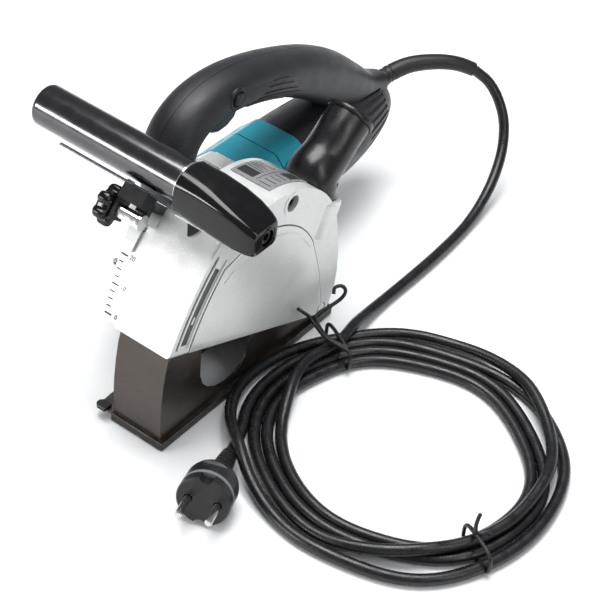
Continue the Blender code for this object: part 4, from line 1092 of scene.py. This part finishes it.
def scale_number(number, degrees):
    curve = bpy.data.curves.new("scale_number_" + number, "FONT")
    curve.body = number
    curve.size = 4.4
    curve.extrude = 0.12
    curve.align_x = "CENTER"
    curve.align_y = "CENTER"
    made = linked(curve.name, curve)
    bpy.context.view_layer.update()
    mesh = bpy.data.meshes.new_from_object(made.evaluated_get(bpy.context.evaluated_depsgraph_get()))
    bpy.data.objects.remove(made, do_unlink=True)
    across, out, up = polar_axes(degrees)
    centre = Vector((flange_edge(degrees) + 9.5, *polar(SCALE_R + 0.2, degrees)))
    for vertex in mesh.vertices:
        vertex.co = row(centre + across * vertex.co.x + up * vertex.co.y + out * vertex.co.z)
    dress(linked("scale_number_" + number, mesh), "dark_print")


def label_fields():
    """Plain ruled fields on the plate on the cover's top."""
    lines = ((-3.0, 106.5), (-6.0, 108.6), (-4.0, 110.7), (-8.0, 112.8), (-3.0, 116.0), (-3.0, 124.8))
    fields = [(-16.0, -3.0, 98.5, 105.0), (-0.5, 0.0, 98.5, 125.5), (2.0, 11.0, 114.5, 125.5)]
    fields += [(-16.0, high, start, start + 0.5) for high, start in lines]
    fields += [(2.0, 11.0, start, start + 0.5) for start in (98.5, 102.5, 106.5, 110.5)]
    bm = bmesh.new()
    for low, high, start, end in fields:
        gather(bm, band(LABEL_R, LABEL_R + 0.16, start, end, 8, low, high, AXLE))
    dress(finish(bm, "plate_fields"), "dark_print")


def cover_details():
    """What fills the slot and the boss, a dark strip painted as the shadow in the groove beside the scale, and
    the screws of the cover and the gear housing.
    """
    strip = band(SLOT_IN + 0.1, SLOT_OUT - 0.1, SLOT_START + 0.1, SLOT_END - 0.1, 22, 20.4, COVER_HALF - 0.15)
    dress(finish(strip, "slot_strip"), "nozzle_plastic")
    # A dark strip painted as the shadow line in the groove along the scale.
    groove_shadow = band(174.65, 175.4, 22.8, 43.4, 24, COVER_HALF - 0.3, COVER_HALF + 0.08)
    dress(finish(groove_shadow, "cover_groove_shadow"), "nozzle_plastic")
    tab = finish(box_at((COVER_HALF, *polar(168.6, 29.5)), polar_axes(29.5), (0.6, 1.0, 2.6)), "slot_tab")
    soften(tab, 0.4)
    dress(tab, "silver_paint")
    dress(finish(rod((15.5, *BOSS_AT), (1, 0, 0), 5.7, 2.5, 32), "boss_plug"), "nozzle_plastic")
    for i, spot in enumerate(((-60.0, 124.0), (70.5, 88.0))):
        screw(f"cover_screw_{i + 1}", Vector((-COVER_HALF - 0.2, *spot)), (-1, 0, 0), 3.4, 2.2, "steel")
    for i, spot in enumerate(((-38.0, -24.4, 94.0), (-74.0, -16.0, 94.0), (-84.0, -16.0, 50.0))):
        screw(f"gear_screw_{i + 1}", Vector(spot), (0, -1, 0), 2.8, 2.2, "steel")


# -------------------------------- the base's fixings

def base_rivets():
    for i, (x, y) in enumerate(((-28.0, -50.0), (-62.0, 40.0), (-45.0, 80.0), (0.0, 82.0))):
        screw(f"base_rivet_{i + 1}", Vector((x, y, 7.0)), (0, 0, 1), 3.0, 1.3, "black_steel", "base", False)


# -------------------------------- the cord guard

def guard():
    """The tapered sleeve where the cord leaves the tail, with its rings."""
    route = ((-60.0, 247.5, 78.0), (-58.5, 258.0, 80.5), (-51.0, 274.0, 84.5), (-38.5, 290.0, 85.5),
             (-27.0, 302.0, 83.5), (-17.0, 311.5, 78.5))
    line = evenly(smooth(route, 16), 0.8)
    count = len(line) - 1
    radii = []
    for i in range(count + 1):
        share = i / count
        radius = 6.8 - 1.5 * share
        if 0.05 < share < 0.16 and (i // 3) % 2:
            radius -= 0.4
        radii.append(radius)
    radii[0] -= 0.5
    radii[-1] = CORD_R + 0.35
    sleeve = finish(tube(line, radii, 32), "cord_sleeve", 60.0)
    dress(sleeve, "plug_rubber", replaced=("cord_guard",))


def main():
    camera()
    studio()
    flex, line, length = cord()
    pieces = plug() + ties(line)
    for (finish_name, width), names in KEPT.items():
        for name in names:
            paint(name, finish_name, width)
    cover()
    side_plate()
    handle()
    button_ring()
    handle_screws()
    motor_housing()
    nozzle()
    grip_arm()
    grip_tube()
    knob()
    scale_marks()
    label_fields()
    cover_details()
    base_rivets()
    guard()


main()
